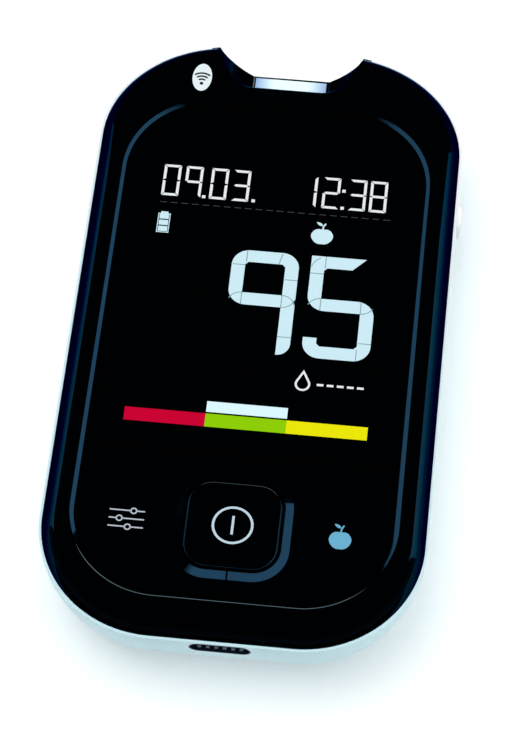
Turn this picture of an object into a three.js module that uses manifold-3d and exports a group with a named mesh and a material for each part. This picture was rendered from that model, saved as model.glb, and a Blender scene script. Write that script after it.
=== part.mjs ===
// Blood glucose meter with a display panel, three keys, a strip port and a strip ejector.
// Millimetres. +X is to the right as the display is read, +Y points to the strip port,
// +Z out of the display. The origin is the middle of the flat back.
import * as THREE from 'three';
import { mergeVertices } from 'three/addons/utils/BufferGeometryUtils.js';
import Module from 'manifold-3d';

const wasm = await Module();
wasm.setup();

// Counts and turns
const cornerSteps = 10;
const smallCornerSteps = 4;
const roundSides = 24;
const smallRoundSides = 12;
const hullRings = 6;
const backEdgeSteps = 3;
const scoopSteps = 14;
const springTurns = 4;
const springStepsPerTurn = 8;
const springWireSides = 5;
const quarterTurn = Math.PI / 2;
const scoopFlareTurn = THREE.MathUtils.degToRad(62);

// Gaps between pieces
const seatGap = 0.3;
const hairlineGap = 0.25;
const bezelGap = 0.2;
const cutOverrun = 2;

// Covers
const bodyWidth = 53;
const bodyLength = 97.43;
const casingHeight = 13.1;
const frontRise = 2.4;
const lowerCornerRadius = 16.7;
const upperCornerAcross = 18.6;
const upperCornerAlong = 17;
const casingLedge = 0.37;
const casingCurveRadius = 18.7;
const casingWall = 1.6;
const backWall = 1.8;
const backEdgeRadius = 2.2;
const chamferWidth = 2;
const chamferShares = [[0, 0], [0.32, 0.2], [0.66, 0.5], [0.9, 0.84], [1, 1]];
const skirtDepth = 1;
const skirtWall = 1.2;

// Display panel, let into the front cover
const frameSideBand = 3.74;
const frameLowerBand = 4.87;
const frameUpperBand = 10.8;
const panelCornerRadius = 13.1;
const panelStepWidth = 0.7;
const panelStepDepth = 0.3;
const windowThickness = 1.5;
const deckThickness = 1;

// Keys
const keyFieldHeight = 22.45;
const keyRise = 11.57;
const sideKeyFromSide = 11.8;
const keyPlateThickness = 1.2;
const powerKeySize = 13.2;
const powerKeyCornerRadius = 3.5;
const powerKeyEdge = 0.3;
const collarTopWidth = 0.15;
const collarSlopeWidth = 1.1;
const collarHeight = 0.4;
const collarCornerRadius = 5;
const nubRadius = 2.2;
const nubRise = 0.1;
const matThickness = 0.8;
const matFromSide = 8;
const matAbove = 6;
const matBelow = 5;
const studRadius = 1.2;
const studDrop = 0.25;
const switchWidth = 4.5;
const switchHeight = 0.85;
const switchDomeRadius = 1.5;
const switchDomeHeight = 0.25;

// Display stack behind the window
const displaySideMargin = 5.06;
const displayLowerMargin = 3.75;
const displayUpperMargin = 10.06;
const displayThickness = 1.3;
const backlightThickness = 0.6;
const trayWall = 0.8;
const trayFloor = 0.4;
const flexWidth = 12;
const flexThickness = 0.3;
const flexFoot = 3;
const flexConnectorLength = 2.4;
const flexConnectorHeight = 1;

// Main board
const boardThickness = 1;
const boardInset = 4;
const boardUpperMargin = 10.4;
const processorSize = 8;
const processorHeight = 1;
const processorX = -10;
const processorY = 3;
const radioWidth = 9;
const radioLength = 12;
const radioHeight = 1.6;
const radioX = 13;
const radioY = 2;

// Finger scoop and strip port at the upper end
const scoopDepth = 8.21;
const scoopHalfWidth = 7.33;
const scoopCornerRadius = 3.9;
const scoopFloorDepth = 8.2;
const scoopSectionHalfWidth = 11.2;
const scoopSectionDepth = 9.55;
const bezelWall = 1.2;
const stripSlotWidth = 6.4;
const stripSlotHeight = 0.9;
const stripSill = 0.45;
const lightHalfWidth = 5.38;
const lightInnerMargin = 1.95;
const lightOuterMargin = 0.87;
const lightFlangeThickness = 1;
const lightFlangeLength = 2.5;
const lightArmX = 7.4;
const lightArmWidth = 2;
const lightArmReach = 10.5;
const lightPostLength = 2;
const ledHeight = 0.8;
const ledSize = 1.8;
const connectorWidth = 9.4;
const connectorLength = 11;
const connectorHeight = 3;
const contactPitch = 1.8;
const contactWidth = 0.8;
const contactThickness = 0.3;
const contactGrooveDepth = 1.1;
const contactLength = 7;
const contactCrown = 0.35;

// Strip ejector on the right side
const sliderFromEnd = 25.5;
const sliderLength = 5.2;
const sliderHeight = 3.8;
const sliderDrop = 2.9;
const sliderStand = 1.15;
const sliderNeckLength = 3.2;
const sliderNeckHeight = 1.8;
const sliderTravel = 3;
const sliderFlange = 0.9;
const sliderLegDrop = 2;
const pusherHeight = 1;
const pusherLength = 2;
const fingerWidth = 3.2;
const fingerHeight = 0.45;
const fingerLength = 5.35;
const springRadius = 1.1;
const springWire = 0.4;

// Battery bay in the back
const cellRadius = 10;
const cellThickness = 3.2;
const cellRound = 0.4;
const bayFromLowerEnd = 26.7;
const bayWall = 1.2;
const bayRoof = 1;
const bayRoofHoleRadius = 6.5;
const doorSideMargin = 2.5;
const doorEndMargin = 3;
const doorThickness = 1.4;
const doorInset = 0.05;
const doorCornerRadius = 3;
const tabWidth = 4;
const tabOffset = 6;
const tabHook = 1.4;
const tabThickness = 0.75;
const tabRiser = 1.4;
const latchWidth = 7;
const latchRidge = 0.12;
const latchRidgeHeight = 0.5;
const nailNotchWidth = 9;
const nailNotchLength = 2.6;
const nailNotchDepth = 0.8;
const leafThickness = 0.3;
const leafWidth = 3.6;
const leafFoot = 3;
const leafToe = 2.5;
const leafSpan = 5.5;

// Data socket in the lower end
const socketOpeningWidth = 8.5;
const socketOpeningHeight = 2.9;
const socketStripAbove = 0.3;
const socketWidth = 7.6;
const socketHeight = 2.4;
const socketLength = 5.5;
const socketShellWall = 0.3;
const socketSetback = 1.9;
const tongueWidth = 5;
const tongueThickness = 0.7;
const tongueSetback = 0.3;

// Case screws
const screwUpperFromSide = 10;
const screwUpperFromEnd = 15.7;
const screwLowerFromSide = 11;
const screwLowerFromEnd = 10.7;
const screwShankRadius = 0.8;
const screwHeadRadius = 1.6;
const screwHeadHeight = 1.2;
const screwSocketRadius = 0.7;
const screwSocketDepth = 0.6;
const screwHeadSeat = 2.6;
const screwBite = 2.4;
const bossWall = 1.1;

// Heights worked out from the sizes above
const bodyDepth = casingHeight + frontRise;
const panelTop = bodyDepth - panelStepDepth;
const windowBottom = panelTop - windowThickness;
const deckTop = windowBottom - seatGap;
const deckBottom = deckTop - deckThickness;
const matTop = deckBottom - seatGap;
const matBottom = matTop - matThickness;
const studBottom = matBottom - studDrop;
const switchTop = studBottom - seatGap;
const boardTop = switchTop - switchHeight;
const boardBottom = boardTop - boardThickness;
const skirtBottom = casingHeight - skirtDepth;
const displayTop = windowBottom - seatGap;
const displayBottom = displayTop - displayThickness;
const backlightTop = displayBottom - seatGap;
const backlightBottom = backlightTop - backlightThickness;
const trayFloorTop = backlightBottom - seatGap;
const scoopFloor = bodyDepth - scoopFloorDepth;
const stripSlotBottom = scoopFloor + stripSill;
const stripSlotTop = stripSlotBottom + stripSlotHeight;
const cellBottom = doorInset + doorThickness + seatGap;
const cellTop = cellBottom + cellThickness;
const bayTop = cellTop + seatGap + bayRoof;

// Places worked out from the sizes above
const sideX = bodyWidth / 2;
const endY = bodyLength / 2;
const panelSide = sideX - frameSideBand;
const panelLowerY = -endY + frameLowerBand;
const panelUpperY = endY - frameUpperBand;
const keyY = panelLowerY + keyRise;
const sideKeyX = sideX - sideKeyFromSide;
const matSide = sideX - matFromSide;
const keyFieldY = panelLowerY + keyFieldHeight;
const displaySide = panelSide - displaySideMargin;
const displayLowerY = keyFieldY + displayLowerMargin;
const displayUpperY = panelUpperY - displayUpperMargin;
const scoopWallY = endY - scoopDepth;
const boardUpperY = endY - boardUpperMargin;
const bayY = -endY + bayFromLowerEnd;
const doorSide = cellRadius + doorSideMargin;
const doorHalfLength = cellRadius + doorEndMargin;
const sliderY = endY - sliderFromEnd;
const sliderZ = casingHeight - sliderDrop;
const screwUpperX = sideX - screwUpperFromSide;
const screwLowerX = sideX - screwLowerFromSide;
const screwPlaces = [
  [-screwUpperX, endY - screwUpperFromEnd],
  [screwUpperX, endY - screwUpperFromEnd],
  [-screwLowerX, -endY + screwLowerFromEnd],
  [screwLowerX, -endY + screwLowerFromEnd],
];

// Materials
const glossBlack = new THREE.MeshStandardMaterial({ color: '#07090d', roughness: 0.12 });
const keyBlack = new THREE.MeshStandardMaterial({ color: '#080a0e', roughness: 0.2 });
const lensBlack = new THREE.MeshStandardMaterial({ color: '#030405', roughness: 0.05 });
const casingWhite = new THREE.MeshStandardMaterial({ color: '#e9edee', roughness: 0.4 });
const trayWhite = new THREE.MeshStandardMaterial({ color: '#f2f2ee', roughness: 0.6 });
const lightWhite = new THREE.MeshStandardMaterial({ color: '#f6f9ff', roughness: 0.3 });
const innerBlack = new THREE.MeshStandardMaterial({ color: '#17181a', roughness: 0.5 });
const boardGreen = new THREE.MeshStandardMaterial({ color: '#1f5a3a', roughness: 0.5 });
const glassGrey = new THREE.MeshStandardMaterial({ color: '#2b3036', roughness: 0.1 });
const siliconeGrey = new THREE.MeshStandardMaterial({ color: '#8d9094', roughness: 0.8 });
const steel = new THREE.MeshStandardMaterial({ color: '#b9bcc0', roughness: 0.3, metalness: 1 });
const gold = new THREE.MeshStandardMaterial({ color: '#c9a24a', roughness: 0.35, metalness: 1 });
const flexAmber = new THREE.MeshStandardMaterial({ color: '#a8702a', roughness: 0.5 });

// Solids from three.js geometries
function solidOf(geometry) {
  geometry.deleteAttribute('normal');
  geometry.deleteAttribute('uv');
  const merged = mergeVertices(geometry);
  return new wasm.Manifold(new wasm.Mesh({
    numProp: 3,
    vertProperties: new Float32Array(merged.attributes.position.array),
    triVerts: new Uint32Array(merged.index.array),
  }));
}

function join(...solids) {
  return solids.reduce((whole, solid) => whole.add(solid));
}

function cut(solid, ...tools) {
  return tools.reduce((rest, tool) => rest.subtract(tool), solid);
}

function block(fromX, toX, fromY, toY, fromZ, toZ) {
  const geometry = new THREE.BoxGeometry(toX - fromX, toY - fromY, toZ - fromZ);
  geometry.translate((fromX + toX) / 2, (fromY + toY) / 2, (fromZ + toZ) / 2);
  return solidOf(geometry);
}

function upright(radius, x, y, fromZ, toZ, sides = roundSides) {
  const geometry = new THREE.CylinderGeometry(radius, radius, toZ - fromZ, sides);
  geometry.rotateX(quarterTurn);
  geometry.translate(x, y, (fromZ + toZ) / 2);
  return solidOf(geometry);
}

// A plan outline carried straight up
function prism(outline, fromZ, toZ) {
  const geometry = new THREE.ExtrudeGeometry(new THREE.Shape(outline), {
    depth: toZ - fromZ,
    bevelEnabled: false,
  });
  geometry.translate(0, 0, fromZ);
  return solidOf(geometry);
}

// An outline in X and Z carried along Y
function prismAlongY(outline, fromY, toY) {
  const geometry = new THREE.ExtrudeGeometry(new THREE.Shape(outline), {
    depth: toY - fromY,
    bevelEnabled: false,
  });
  geometry.rotateX(quarterTurn);
  geometry.translate(0, toY, 0);
  return solidOf(geometry);
}

// An outline in Y and Z carried along X
function prismAlongX(outline, fromX, toX) {
  const geometry = new THREE.ExtrudeGeometry(new THREE.Shape(outline), {
    depth: toX - fromX,
    bevelEnabled: false,
  });
  geometry.rotateY(quarterTurn);
  geometry.rotateX(quarterTurn);
  geometry.translate(fromX, 0, 0);
  return solidOf(geometry);
}

// A closed body through level rings that have as many points each
function loft(rings) {
  const points = [];
  const faces = [];
  const count = rings[0].outline.length;
  rings.forEach((ring) => ring.outline.forEach((point) => points.push(point.x, point.y, ring.z)));
  for (let level = 0; level < rings.length - 1; level += 1) {
    for (let step = 0; step < count; step += 1) {
      const next = (step + 1) % count;
      const low = level * count;
      const high = low + count;
      faces.push(low + step, low + next, high + next);
      faces.push(low + step, high + next, high + step);
    }
  }
  const cap = THREE.ShapeUtils.triangulateShape(rings[0].outline, []);
  const top = (rings.length - 1) * count;
  cap.forEach(([a, b, c]) => {
    faces.push(c, b, a);
    faces.push(top + a, top + b, top + c);
  });
  const geometry = new THREE.BufferGeometry();
  geometry.setAttribute('position', new THREE.Float32BufferAttribute(points, 3));
  geometry.setIndex(faces);
  return solidOf(geometry);
}

// Outlines
function arc(centreX, centreY, radiusX, radiusY, startQuarter, steps) {
  const points = [];
  for (let step = 0; step <= steps; step += 1) {
    const angle = (startQuarter + step / steps) * quarterTurn;
    points.push(new THREE.Vector2(
      centreX + radiusX * Math.cos(angle),
      centreY + radiusY * Math.sin(angle),
    ));
  }
  return points;
}

function roundedOutline(left, right, low, high, radius, steps = smallCornerSteps) {
  return [
    ...arc(right - radius, low + radius, radius, radius, -1, steps),
    ...arc(right - radius, high - radius, radius, radius, 0, steps),
    ...arc(left + radius, high - radius, radius, radius, 1, steps),
    ...arc(left + radius, low + radius, radius, radius, 2, steps),
  ];
}

function bodyOutline(inset) {
  const side = sideX - inset;
  const end = endY - inset;
  const lower = lowerCornerRadius - inset;
  const across = upperCornerAcross - inset;
  const along = upperCornerAlong - inset;
  return [
    ...arc(side - lower, -end + lower, lower, lower, -1, cornerSteps),
    ...arc(side - across, end - along, across, along, 0, cornerSteps),
    ...arc(-side + across, end - along, across, along, 1, cornerSteps),
    ...arc(-side + lower, -end + lower, lower, lower, 2, cornerSteps),
  ];
}

function panelOutline(inset) {
  return roundedOutline(
    -panelSide + inset, panelSide - inset, panelLowerY + inset, panelUpperY - inset,
    panelCornerRadius - inset, cornerSteps,
  );
}

function keyOutline(halfSize, radius) {
  return roundedOutline(-halfSize, halfSize, keyY - halfSize, keyY + halfSize, radius, smallCornerSteps);
}

// Inset of the lower casing's surface, a given depth under its skin, at a height
function hullInset(height, underSkin) {
  const reach = casingCurveRadius - underSkin;
  const lean = Math.asin(Math.max(casingHeight - height, 0) / reach);
  return casingCurveRadius - reach * Math.cos(lean) - casingLedge;
}

function casingBody() {
  const edgeTop = backEdgeRadius * (1 - casingHeight / casingCurveRadius)
    / (1 - backEdgeRadius / casingCurveRadius);
  const edgeLean = Math.asin((casingHeight - edgeTop) / casingCurveRadius);
  const rings = [];
  for (let step = backEdgeSteps; step > 0; step -= 1) {
    const lean = edgeLean + (quarterTurn - edgeLean) * step / backEdgeSteps;
    const run = backEdgeRadius * (Math.cos(edgeLean) - Math.cos(lean));
    const drop = backEdgeRadius * (Math.sin(lean) - Math.sin(edgeLean));
    const z = step === backEdgeSteps ? 0 : edgeTop - drop;
    rings.push({ outline: bodyOutline(hullInset(edgeTop, 0) + run), z });
  }
  for (let step = 0; step <= hullRings; step += 1) {
    const z = edgeTop + (casingHeight - edgeTop) * step / hullRings;
    rings.push({ outline: bodyOutline(hullInset(z, 0)), z });
  }
  return loft(rings);
}

function casingHollow() {
  const rings = [];
  for (let step = 0; step <= hullRings; step += 1) {
    const z = backWall + (casingHeight - backWall) * step / hullRings;
    rings.push({ outline: bodyOutline(hullInset(z, casingWall)), z });
  }
  rings.push({ outline: bodyOutline(casingWall - casingLedge), z: casingHeight + cutOverrun });
  return loft(rings);
}

// The finger scoop: a flared plan outline crossed with a round-bottomed end section
function scoopPlan(offset) {
  const wallY = scoopWallY - offset;
  const corner = scoopHalfWidth + offset / Math.tan((Math.PI - scoopFlareTurn) / 2);
  const radius = scoopCornerRadius + offset;
  const tangent = radius * Math.tan(scoopFlareTurn / 2);
  const reach = scoopDepth + offset + cutOverrun;
  const half = [new THREE.Vector2(corner + reach / Math.tan(scoopFlareTurn), wallY + reach)];
  for (let step = smallCornerSteps; step >= 0; step -= 1) {
    const turn = scoopFlareTurn * step / smallCornerSteps;
    half.push(new THREE.Vector2(
      corner - tangent + radius * Math.sin(turn),
      wallY + radius * (1 - Math.cos(turn)),
    ));
  }
  const mirrored = half.map((point) => new THREE.Vector2(-point.x, point.y));
  return [...mirrored, ...half.reverse()];
}

function scoopSection(offset) {
  const across = scoopSectionHalfWidth + offset;
  const deep = scoopSectionDepth + offset;
  const floor = scoopFloorDepth + offset;
  const floorTurn = Math.asin(floor / deep);
  const top = bodyDepth + cutOverrun + collarHeight;
  const right = [];
  for (let step = 0; step <= scoopSteps; step += 1) {
    const turn = floorTurn * step / scoopSteps;
    right.push(new THREE.Vector2(across * Math.cos(turn), bodyDepth - deep * Math.sin(turn)));
  }
  const left = right.map((point) => new THREE.Vector2(-point.x, point.y)).reverse();
  return [
    new THREE.Vector2(across, top),
    ...right,
    ...left,
    new THREE.Vector2(-across, top),
  ];
}

function scoop(offset) {
  const plan = prism(scoopPlan(offset), -cutOverrun, bodyDepth + cutOverrun);
  const section = prismAlongY(scoopSection(offset), scoopWallY - scoopDepth, endY + scoopDepth);
  return plan.intersect(section);
}

// Shapes that more than one piece follows
function socketOutline(grow) {
  const top = casingHeight - socketStripAbove + grow;
  const low = casingHeight - socketStripAbove - socketOpeningHeight - grow;
  const side = socketOpeningWidth / 2 + grow;
  return roundedOutline(-side, side, low, top, (top - low) / 2);
}

function sliderPassage(gap) {
  const neck = sliderNeckLength / 2 + gap;
  const high = sliderNeckHeight / 2 + gap;
  return block(
    sideX - frameSideBand, sideX + cutOverrun,
    sliderY - neck, sliderY + neck + sliderTravel,
    sliderZ - high, sliderZ + high,
  );
}

function doorOutline(grow) {
  return roundedOutline(
    -doorSide - grow, doorSide + grow,
    bayY - doorHalfLength - grow, bayY + doorHalfLength + grow,
    doorCornerRadius + grow,
  );
}

// The light window: straight sides, and an outer edge that runs along the end of the body
function lightWindow(fromZ, toZ) {
  const strip = block(
    -lightHalfWidth, lightHalfWidth, scoopWallY + lightInnerMargin, endY, fromZ, toZ,
  );
  return strip.intersect(prism(bodyOutline(lightOuterMargin), fromZ, toZ));
}

// Pieces
function frontCover() {
  const rings = chamferShares.map(([riseShare, insetShare]) => ({
    outline: bodyOutline(chamferWidth * insetShare),
    z: casingHeight + frontRise * riseShare,
  }));
  const shell = loft(rings);
  const skirtInset = casingWall - casingLedge + seatGap;
  const skirt = prism(bodyOutline(skirtInset), skirtBottom, casingHeight + frontRise / 2);
  const skirtHollow = prism(bodyOutline(skirtInset + skirtWall), skirtBottom - cutOverrun, deckBottom);
  const opening = loft([
    { outline: panelOutline(panelStepWidth), z: deckTop },
    { outline: panelOutline(panelStepWidth), z: panelTop },
    { outline: panelOutline(0), z: bodyDepth },
    { outline: panelOutline(0), z: bodyDepth + cutOverrun },
  ]);
  const displayHole = block(
    -displaySide - seatGap, displaySide + seatGap,
    displayLowerY - seatGap, displayUpperY + seatGap,
    skirtBottom - cutOverrun, bodyDepth,
  );
  const nubHoles = keyCentres().map((x) => upright(nubRadius + seatGap, x, keyY, skirtBottom, bodyDepth));
  const bosses = screwPlaces.map(([x, y]) => upright(
    screwShankRadius + seatGap + bossWall, x, y, boardTop + seatGap, deckTop - seatGap,
  ));
  const pilots = screwPlaces.map(([x, y]) => upright(
    screwShankRadius + seatGap, x, y, boardTop - cutOverrun, boardTop + seatGap * 2 + screwBite,
    smallRoundSides,
  ));
  const socketRoom = block(
    -socketWidth / 2 - seatGap, socketWidth / 2 + seatGap,
    -endY - cutOverrun, -endY + socketSetback + socketLength + seatGap,
    boardTop - cutOverrun, boardTop + socketHeight + seatGap,
  );
  const flexRoom = block(
    -flexWidth / 2 - seatGap, flexWidth / 2 + seatGap,
    displayUpperY - seatGap, displayUpperY + trayWall + seatGap * 2 + flexThickness,
    skirtBottom - cutOverrun, displayBottom + flexThickness * 2,
  );
  const bezelRoom = scoop(bezelWall + bezelGap).intersect(
    block(-sideX, sideX, 0, endY + cutOverrun, 0, casingHeight),
  );
  return cut(
    join(cut(join(shell, skirt), skirtHollow), ...bosses),
    opening, displayHole, ...nubHoles, ...pilots, socketRoom, flexRoom, scoop(0), bezelRoom,
  );
}

function rearCover() {
  const bossRadius = screwHeadRadius + seatGap + bossWall;
  const bosses = screwPlaces.map(([x, y]) => upright(bossRadius, x, y, backWall / 2, boardBottom - seatGap));
  const bay = block(
    -doorSide - hairlineGap - bayWall, doorSide + hairlineGap + bayWall,
    bayY - doorHalfLength - hairlineGap - bayWall - tabHook,
    bayY + doorHalfLength + hairlineGap + bayWall,
    backWall / 2, bayTop,
  );
  const heads = screwPlaces.map(([x, y]) => upright(
    screwHeadRadius + seatGap, x, y, -cutOverrun, screwHeadSeat + screwHeadHeight + seatGap,
  ));
  const shanks = screwPlaces.map(([x, y]) => upright(
    screwShankRadius + seatGap, x, y, -cutOverrun, boardBottom + cutOverrun, smallRoundSides,
  ));
  const doorHole = prism(doorOutline(hairlineGap), -cutOverrun, cellBottom);
  const cellPocket = upright(cellRadius + seatGap, 0, bayY, 0, cellTop + seatGap);
  const roofHole = upright(bayRoofHoleRadius, 0, bayY, 0, bayTop + cutOverrun);
  const tabTop = doorTabTop();
  const tabRooms = tabCentres().map((x) => block(
    x - tabWidth / 2 - seatGap, x + tabWidth / 2 + seatGap,
    bayY - doorHalfLength - tabHook - seatGap, bayY - doorHalfLength + tabTop + seatGap,
    backWall, tabTop + tabHook,
  ));
  const tabMouths = tabCentres().map((x) => block(
    x - tabWidth / 2 - seatGap, x + tabWidth / 2 + seatGap,
    bayY - doorHalfLength - hairlineGap, bayY - doorHalfLength + tabTop + seatGap,
    0, tabTop + tabHook,
  ));
  const leafRoom = block(
    -leafWidth / 2 - seatGap, leafWidth / 2 + seatGap,
    bayY, bayY + cellRadius + seatGap * 2 + leafThickness,
    cellBottom, bayTop + cutOverrun,
  );
  const nailNotch = prism(roundedOutline(
    -nailNotchWidth / 2, nailNotchWidth / 2,
    bayY + doorHalfLength - nailNotchLength, bayY + doorHalfLength + nailNotchLength,
    nailNotchLength / 2,
  ), -cutOverrun, nailNotchDepth);
  const socketHole = prismAlongY(socketOutline(0), -endY - cutOverrun, -endY + socketLength);
  return cut(
    join(cut(casingBody(), casingHollow()), bay, ...bosses),
    ...heads, ...shanks, doorHole, cellPocket, roofHole, ...tabRooms, ...tabMouths, leafRoom,
    nailNotch, socketHole, sliderPassage(seatGap), scoop(bezelWall + bezelGap),
  );
}

function keyCentres() {
  return [-sideKeyX, 0, sideKeyX];
}

function tabCentres() {
  return [-tabOffset, tabOffset];
}

function doorTabTop() {
  return backWall + seatGap + tabThickness;
}

function displayWindow() {
  const plate = prism(panelOutline(panelStepWidth + hairlineGap), windowBottom, panelTop);
  return plate.intersect(block(-sideX, sideX, keyFieldY + hairlineGap, endY, 0, bodyDepth));
}

function sideKey(side) {
  const plate = prism(panelOutline(panelStepWidth + hairlineGap), panelTop - keyPlateThickness, panelTop);
  const collarOuter = powerKeySize / 2 + hairlineGap + collarTopWidth + collarSlopeWidth;
  const collarInner = collarOuter - collarSlopeWidth;
  const collarInnerRadius = powerKeyCornerRadius + hairlineGap + collarTopWidth;
  const collar = loft([
    { outline: keyOutline(collarOuter, collarCornerRadius), z: panelTop - keyPlateThickness / 2 },
    { outline: keyOutline(collarOuter, collarCornerRadius), z: panelTop },
    { outline: keyOutline(collarInner, collarInnerRadius), z: panelTop + collarHeight },
  ]);
  const hole = prism(
    keyOutline(powerKeySize / 2 + hairlineGap, powerKeyCornerRadius + hairlineGap),
    0, bodyDepth + cutOverrun,
  );
  const ownSide = side < 0
    ? block(-sideX, -hairlineGap / 2, -endY, keyFieldY, 0, bodyDepth + cutOverrun)
    : block(hairlineGap / 2, sideX, -endY, keyFieldY, 0, bodyDepth + cutOverrun);
  return cut(join(plate, collar), hole).intersect(ownSide);
}

function powerKey() {
  const top = panelTop + collarHeight;
  const ring = (inset, z) => ({
    outline: keyOutline(powerKeySize / 2 - inset, powerKeyCornerRadius - inset),
    z,
  });
  return loft([
    ring(0, panelTop - keyPlateThickness),
    ring(0, top - powerKeyEdge),
    ring(powerKeyEdge / 3, top - powerKeyEdge / 3),
    ring(powerKeyEdge, top),
  ]);
}

function keyMat() {
  const sheet = block(-matSide, matSide, keyY - matBelow, keyY + matAbove, matBottom, matTop);
  const nubs = keyCentres().map((x) => upright(nubRadius, x, keyY, matBottom, deckTop + nubRise));
  const studs = keyCentres().map((x) => upright(studRadius, x, keyY, studBottom, matTop, smallRoundSides));
  const bossRooms = screwPlaces.map(([x, y]) => upright(
    screwShankRadius + seatGap * 2 + bossWall, x, y, 0, bodyDepth,
  ));
  return cut(join(sheet, ...nubs, ...studs), ...bossRooms);
}

function keySwitch(x) {
  const half = switchWidth / 2;
  const base = block(x - half, x + half, keyY - half, keyY + half, boardTop, switchTop - switchDomeHeight);
  return join(base, upright(switchDomeRadius, x, keyY, boardTop, switchTop, smallRoundSides));
}

function mainBoard() {
  const plate = prism(bodyOutline(boardInset), boardBottom, boardTop);
  const screwHoles = screwPlaces.map(([x, y]) => upright(
    screwShankRadius + seatGap, x, y, boardBottom - cutOverrun, boardTop + cutOverrun, smallRoundSides,
  ));
  const beyond = block(-sideX, sideX, boardUpperY, endY, 0, bodyDepth);
  const reach = sliderNeckLength / 2 + seatGap * 2;
  const sliderRoom = block(
    sideX - frameSideBand - seatGap, sideX,
    sliderY - reach, sliderY + reach + sliderTravel, 0, bodyDepth,
  );
  return cut(plate, ...screwHoles, beyond, sliderRoom);
}

function displayTray() {
  const inner = displaySide + seatGap;
  const outer = inner + trayWall;
  const low = displayLowerY - seatGap;
  const high = displayUpperY + seatGap;
  const whole = block(
    -outer, outer, low - trayWall, high + trayWall, boardTop + seatGap, deckBottom - seatGap,
  );
  const upperRoom = block(-inner, inner, low, high, trayFloorTop, bodyDepth);
  const lowerRoom = block(-inner, inner, low, high, 0, trayFloorTop - trayFloor);
  const flexRoom = block(
    -flexWidth / 2 - seatGap, flexWidth / 2 + seatGap, displayUpperY, high + trayWall * 2, 0, bodyDepth,
  );
  return cut(whole, upperRoom, lowerRoom, flexRoom);
}

function displayGlass() {
  return block(-displaySide, displaySide, displayLowerY, displayUpperY, displayBottom, displayTop);
}

function backlightPanel() {
  return block(-displaySide, displaySide, displayLowerY, displayUpperY, backlightBottom, backlightTop);
}

function displayFlex() {
  const low = boardTop + seatGap;
  const near = displayUpperY + seatGap;
  const outline = [
    new THREE.Vector2(near, displayBottom + flexThickness),
    new THREE.Vector2(near, low),
    new THREE.Vector2(near + flexFoot, low),
    new THREE.Vector2(near + flexFoot, low + flexThickness),
    new THREE.Vector2(near + flexThickness, low + flexThickness),
    new THREE.Vector2(near + flexThickness, displayBottom + flexThickness),
  ];
  return prismAlongX(outline, -flexWidth / 2, flexWidth / 2);
}

function displayConnector() {
  const near = displayUpperY + seatGap + flexFoot + seatGap;
  return block(
    -flexWidth / 2, flexWidth / 2, near, near + flexConnectorLength,
    boardTop, boardTop + flexConnectorHeight,
  );
}

function chip(centreX, centreY, width, length, height) {
  return block(
    centreX - width / 2, centreX + width / 2,
    centreY - length / 2, centreY + length / 2,
    boardBottom - height, boardBottom,
  );
}

function processorChip() {
  return chip(processorX, processorY, processorSize, processorSize, processorHeight);
}

function stripPortBezel() {
  const outer = scoop(bezelWall).intersect(casingBody());
  const slot = block(
    -stripSlotWidth / 2, stripSlotWidth / 2,
    scoopWallY - bezelWall - cutOverrun, scoopWallY + cutOverrun,
    stripSlotBottom, stripSlotTop,
  );
  return cut(outer, scoop(0), slot, lightWindow(0, bodyDepth));
}

function lightGuide() {
  const flangeTop = scoopFloor - bezelWall - bezelGap;
  const flangeBottom = flangeTop - lightFlangeThickness;
  const near = scoopWallY + lightInnerMargin;
  const armFar = near + lightFlangeLength;
  const armNear = near - lightArmReach;
  const armOuter = lightArmX + lightArmWidth / 2;
  const flange = block(-lightHalfWidth, armOuter, near, armFar, flangeBottom, flangeTop);
  const arm = block(armOuter - lightArmWidth, armOuter, armNear, armFar, flangeBottom, flangeTop);
  const post = block(
    armOuter - lightArmWidth, armOuter, armNear, armNear + lightPostLength,
    flangeBottom, boardBottom - ledHeight - seatGap,
  );
  const neck = block(
    -lightHalfWidth, lightHalfWidth, near, armFar, flangeTop - lightFlangeThickness / 2, scoopFloor,
  );
  const pane = lightWindow(scoopFloor - bezelWall, scoopFloor).intersect(casingBody());
  return join(pane, flange, arm, post, neck);
}

function stripLight() {
  const y = scoopWallY + lightInnerMargin - lightArmReach + lightPostLength / 2;
  const half = ledSize / 2;
  return block(
    lightArmX - half, lightArmX + half, y - half, y + half, boardBottom - ledHeight, boardBottom,
  );
}

function connectorRange() {
  const far = scoopWallY - bezelWall - seatGap;
  return [far - connectorLength, far];
}

function stripConnector() {
  const [near, far] = connectorRange();
  const body = block(
    -connectorWidth / 2, connectorWidth / 2, near, far, boardBottom - connectorHeight, boardBottom,
  );
  const slot = block(
    -stripSlotWidth / 2, stripSlotWidth / 2, near - cutOverrun, far + cutOverrun,
    stripSlotBottom, stripSlotTop,
  );
  const grooves = contactCentres().map((x) => block(
    x - contactWidth / 2 - seatGap, x + contactWidth / 2 + seatGap,
    far - contactLength - seatGap * 2, far + cutOverrun,
    stripSlotBottom - contactGrooveDepth, stripSlotTop,
  ));
  return cut(body, slot, ...grooves);
}

function contactCentres() {
  return [-contactPitch, 0, contactPitch];
}

function stripContact(x) {
  const [, far] = connectorRange();
  const near = far - contactLength - seatGap;
  const base = stripSlotBottom - contactGrooveDepth + seatGap;
  const middle = near + contactLength / 2;
  const crown = base + contactCrown;
  const outline = [
    new THREE.Vector2(near, base),
    new THREE.Vector2(far, base),
    new THREE.Vector2(far, base + contactThickness),
    new THREE.Vector2(middle, crown + contactThickness),
    new THREE.Vector2(near, base + contactThickness),
  ];
  return prismAlongX(outline, x - contactWidth / 2, x + contactWidth / 2);
}

function sliderInnerX() {
  return sideX - frameSideBand + seatGap;
}

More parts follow.
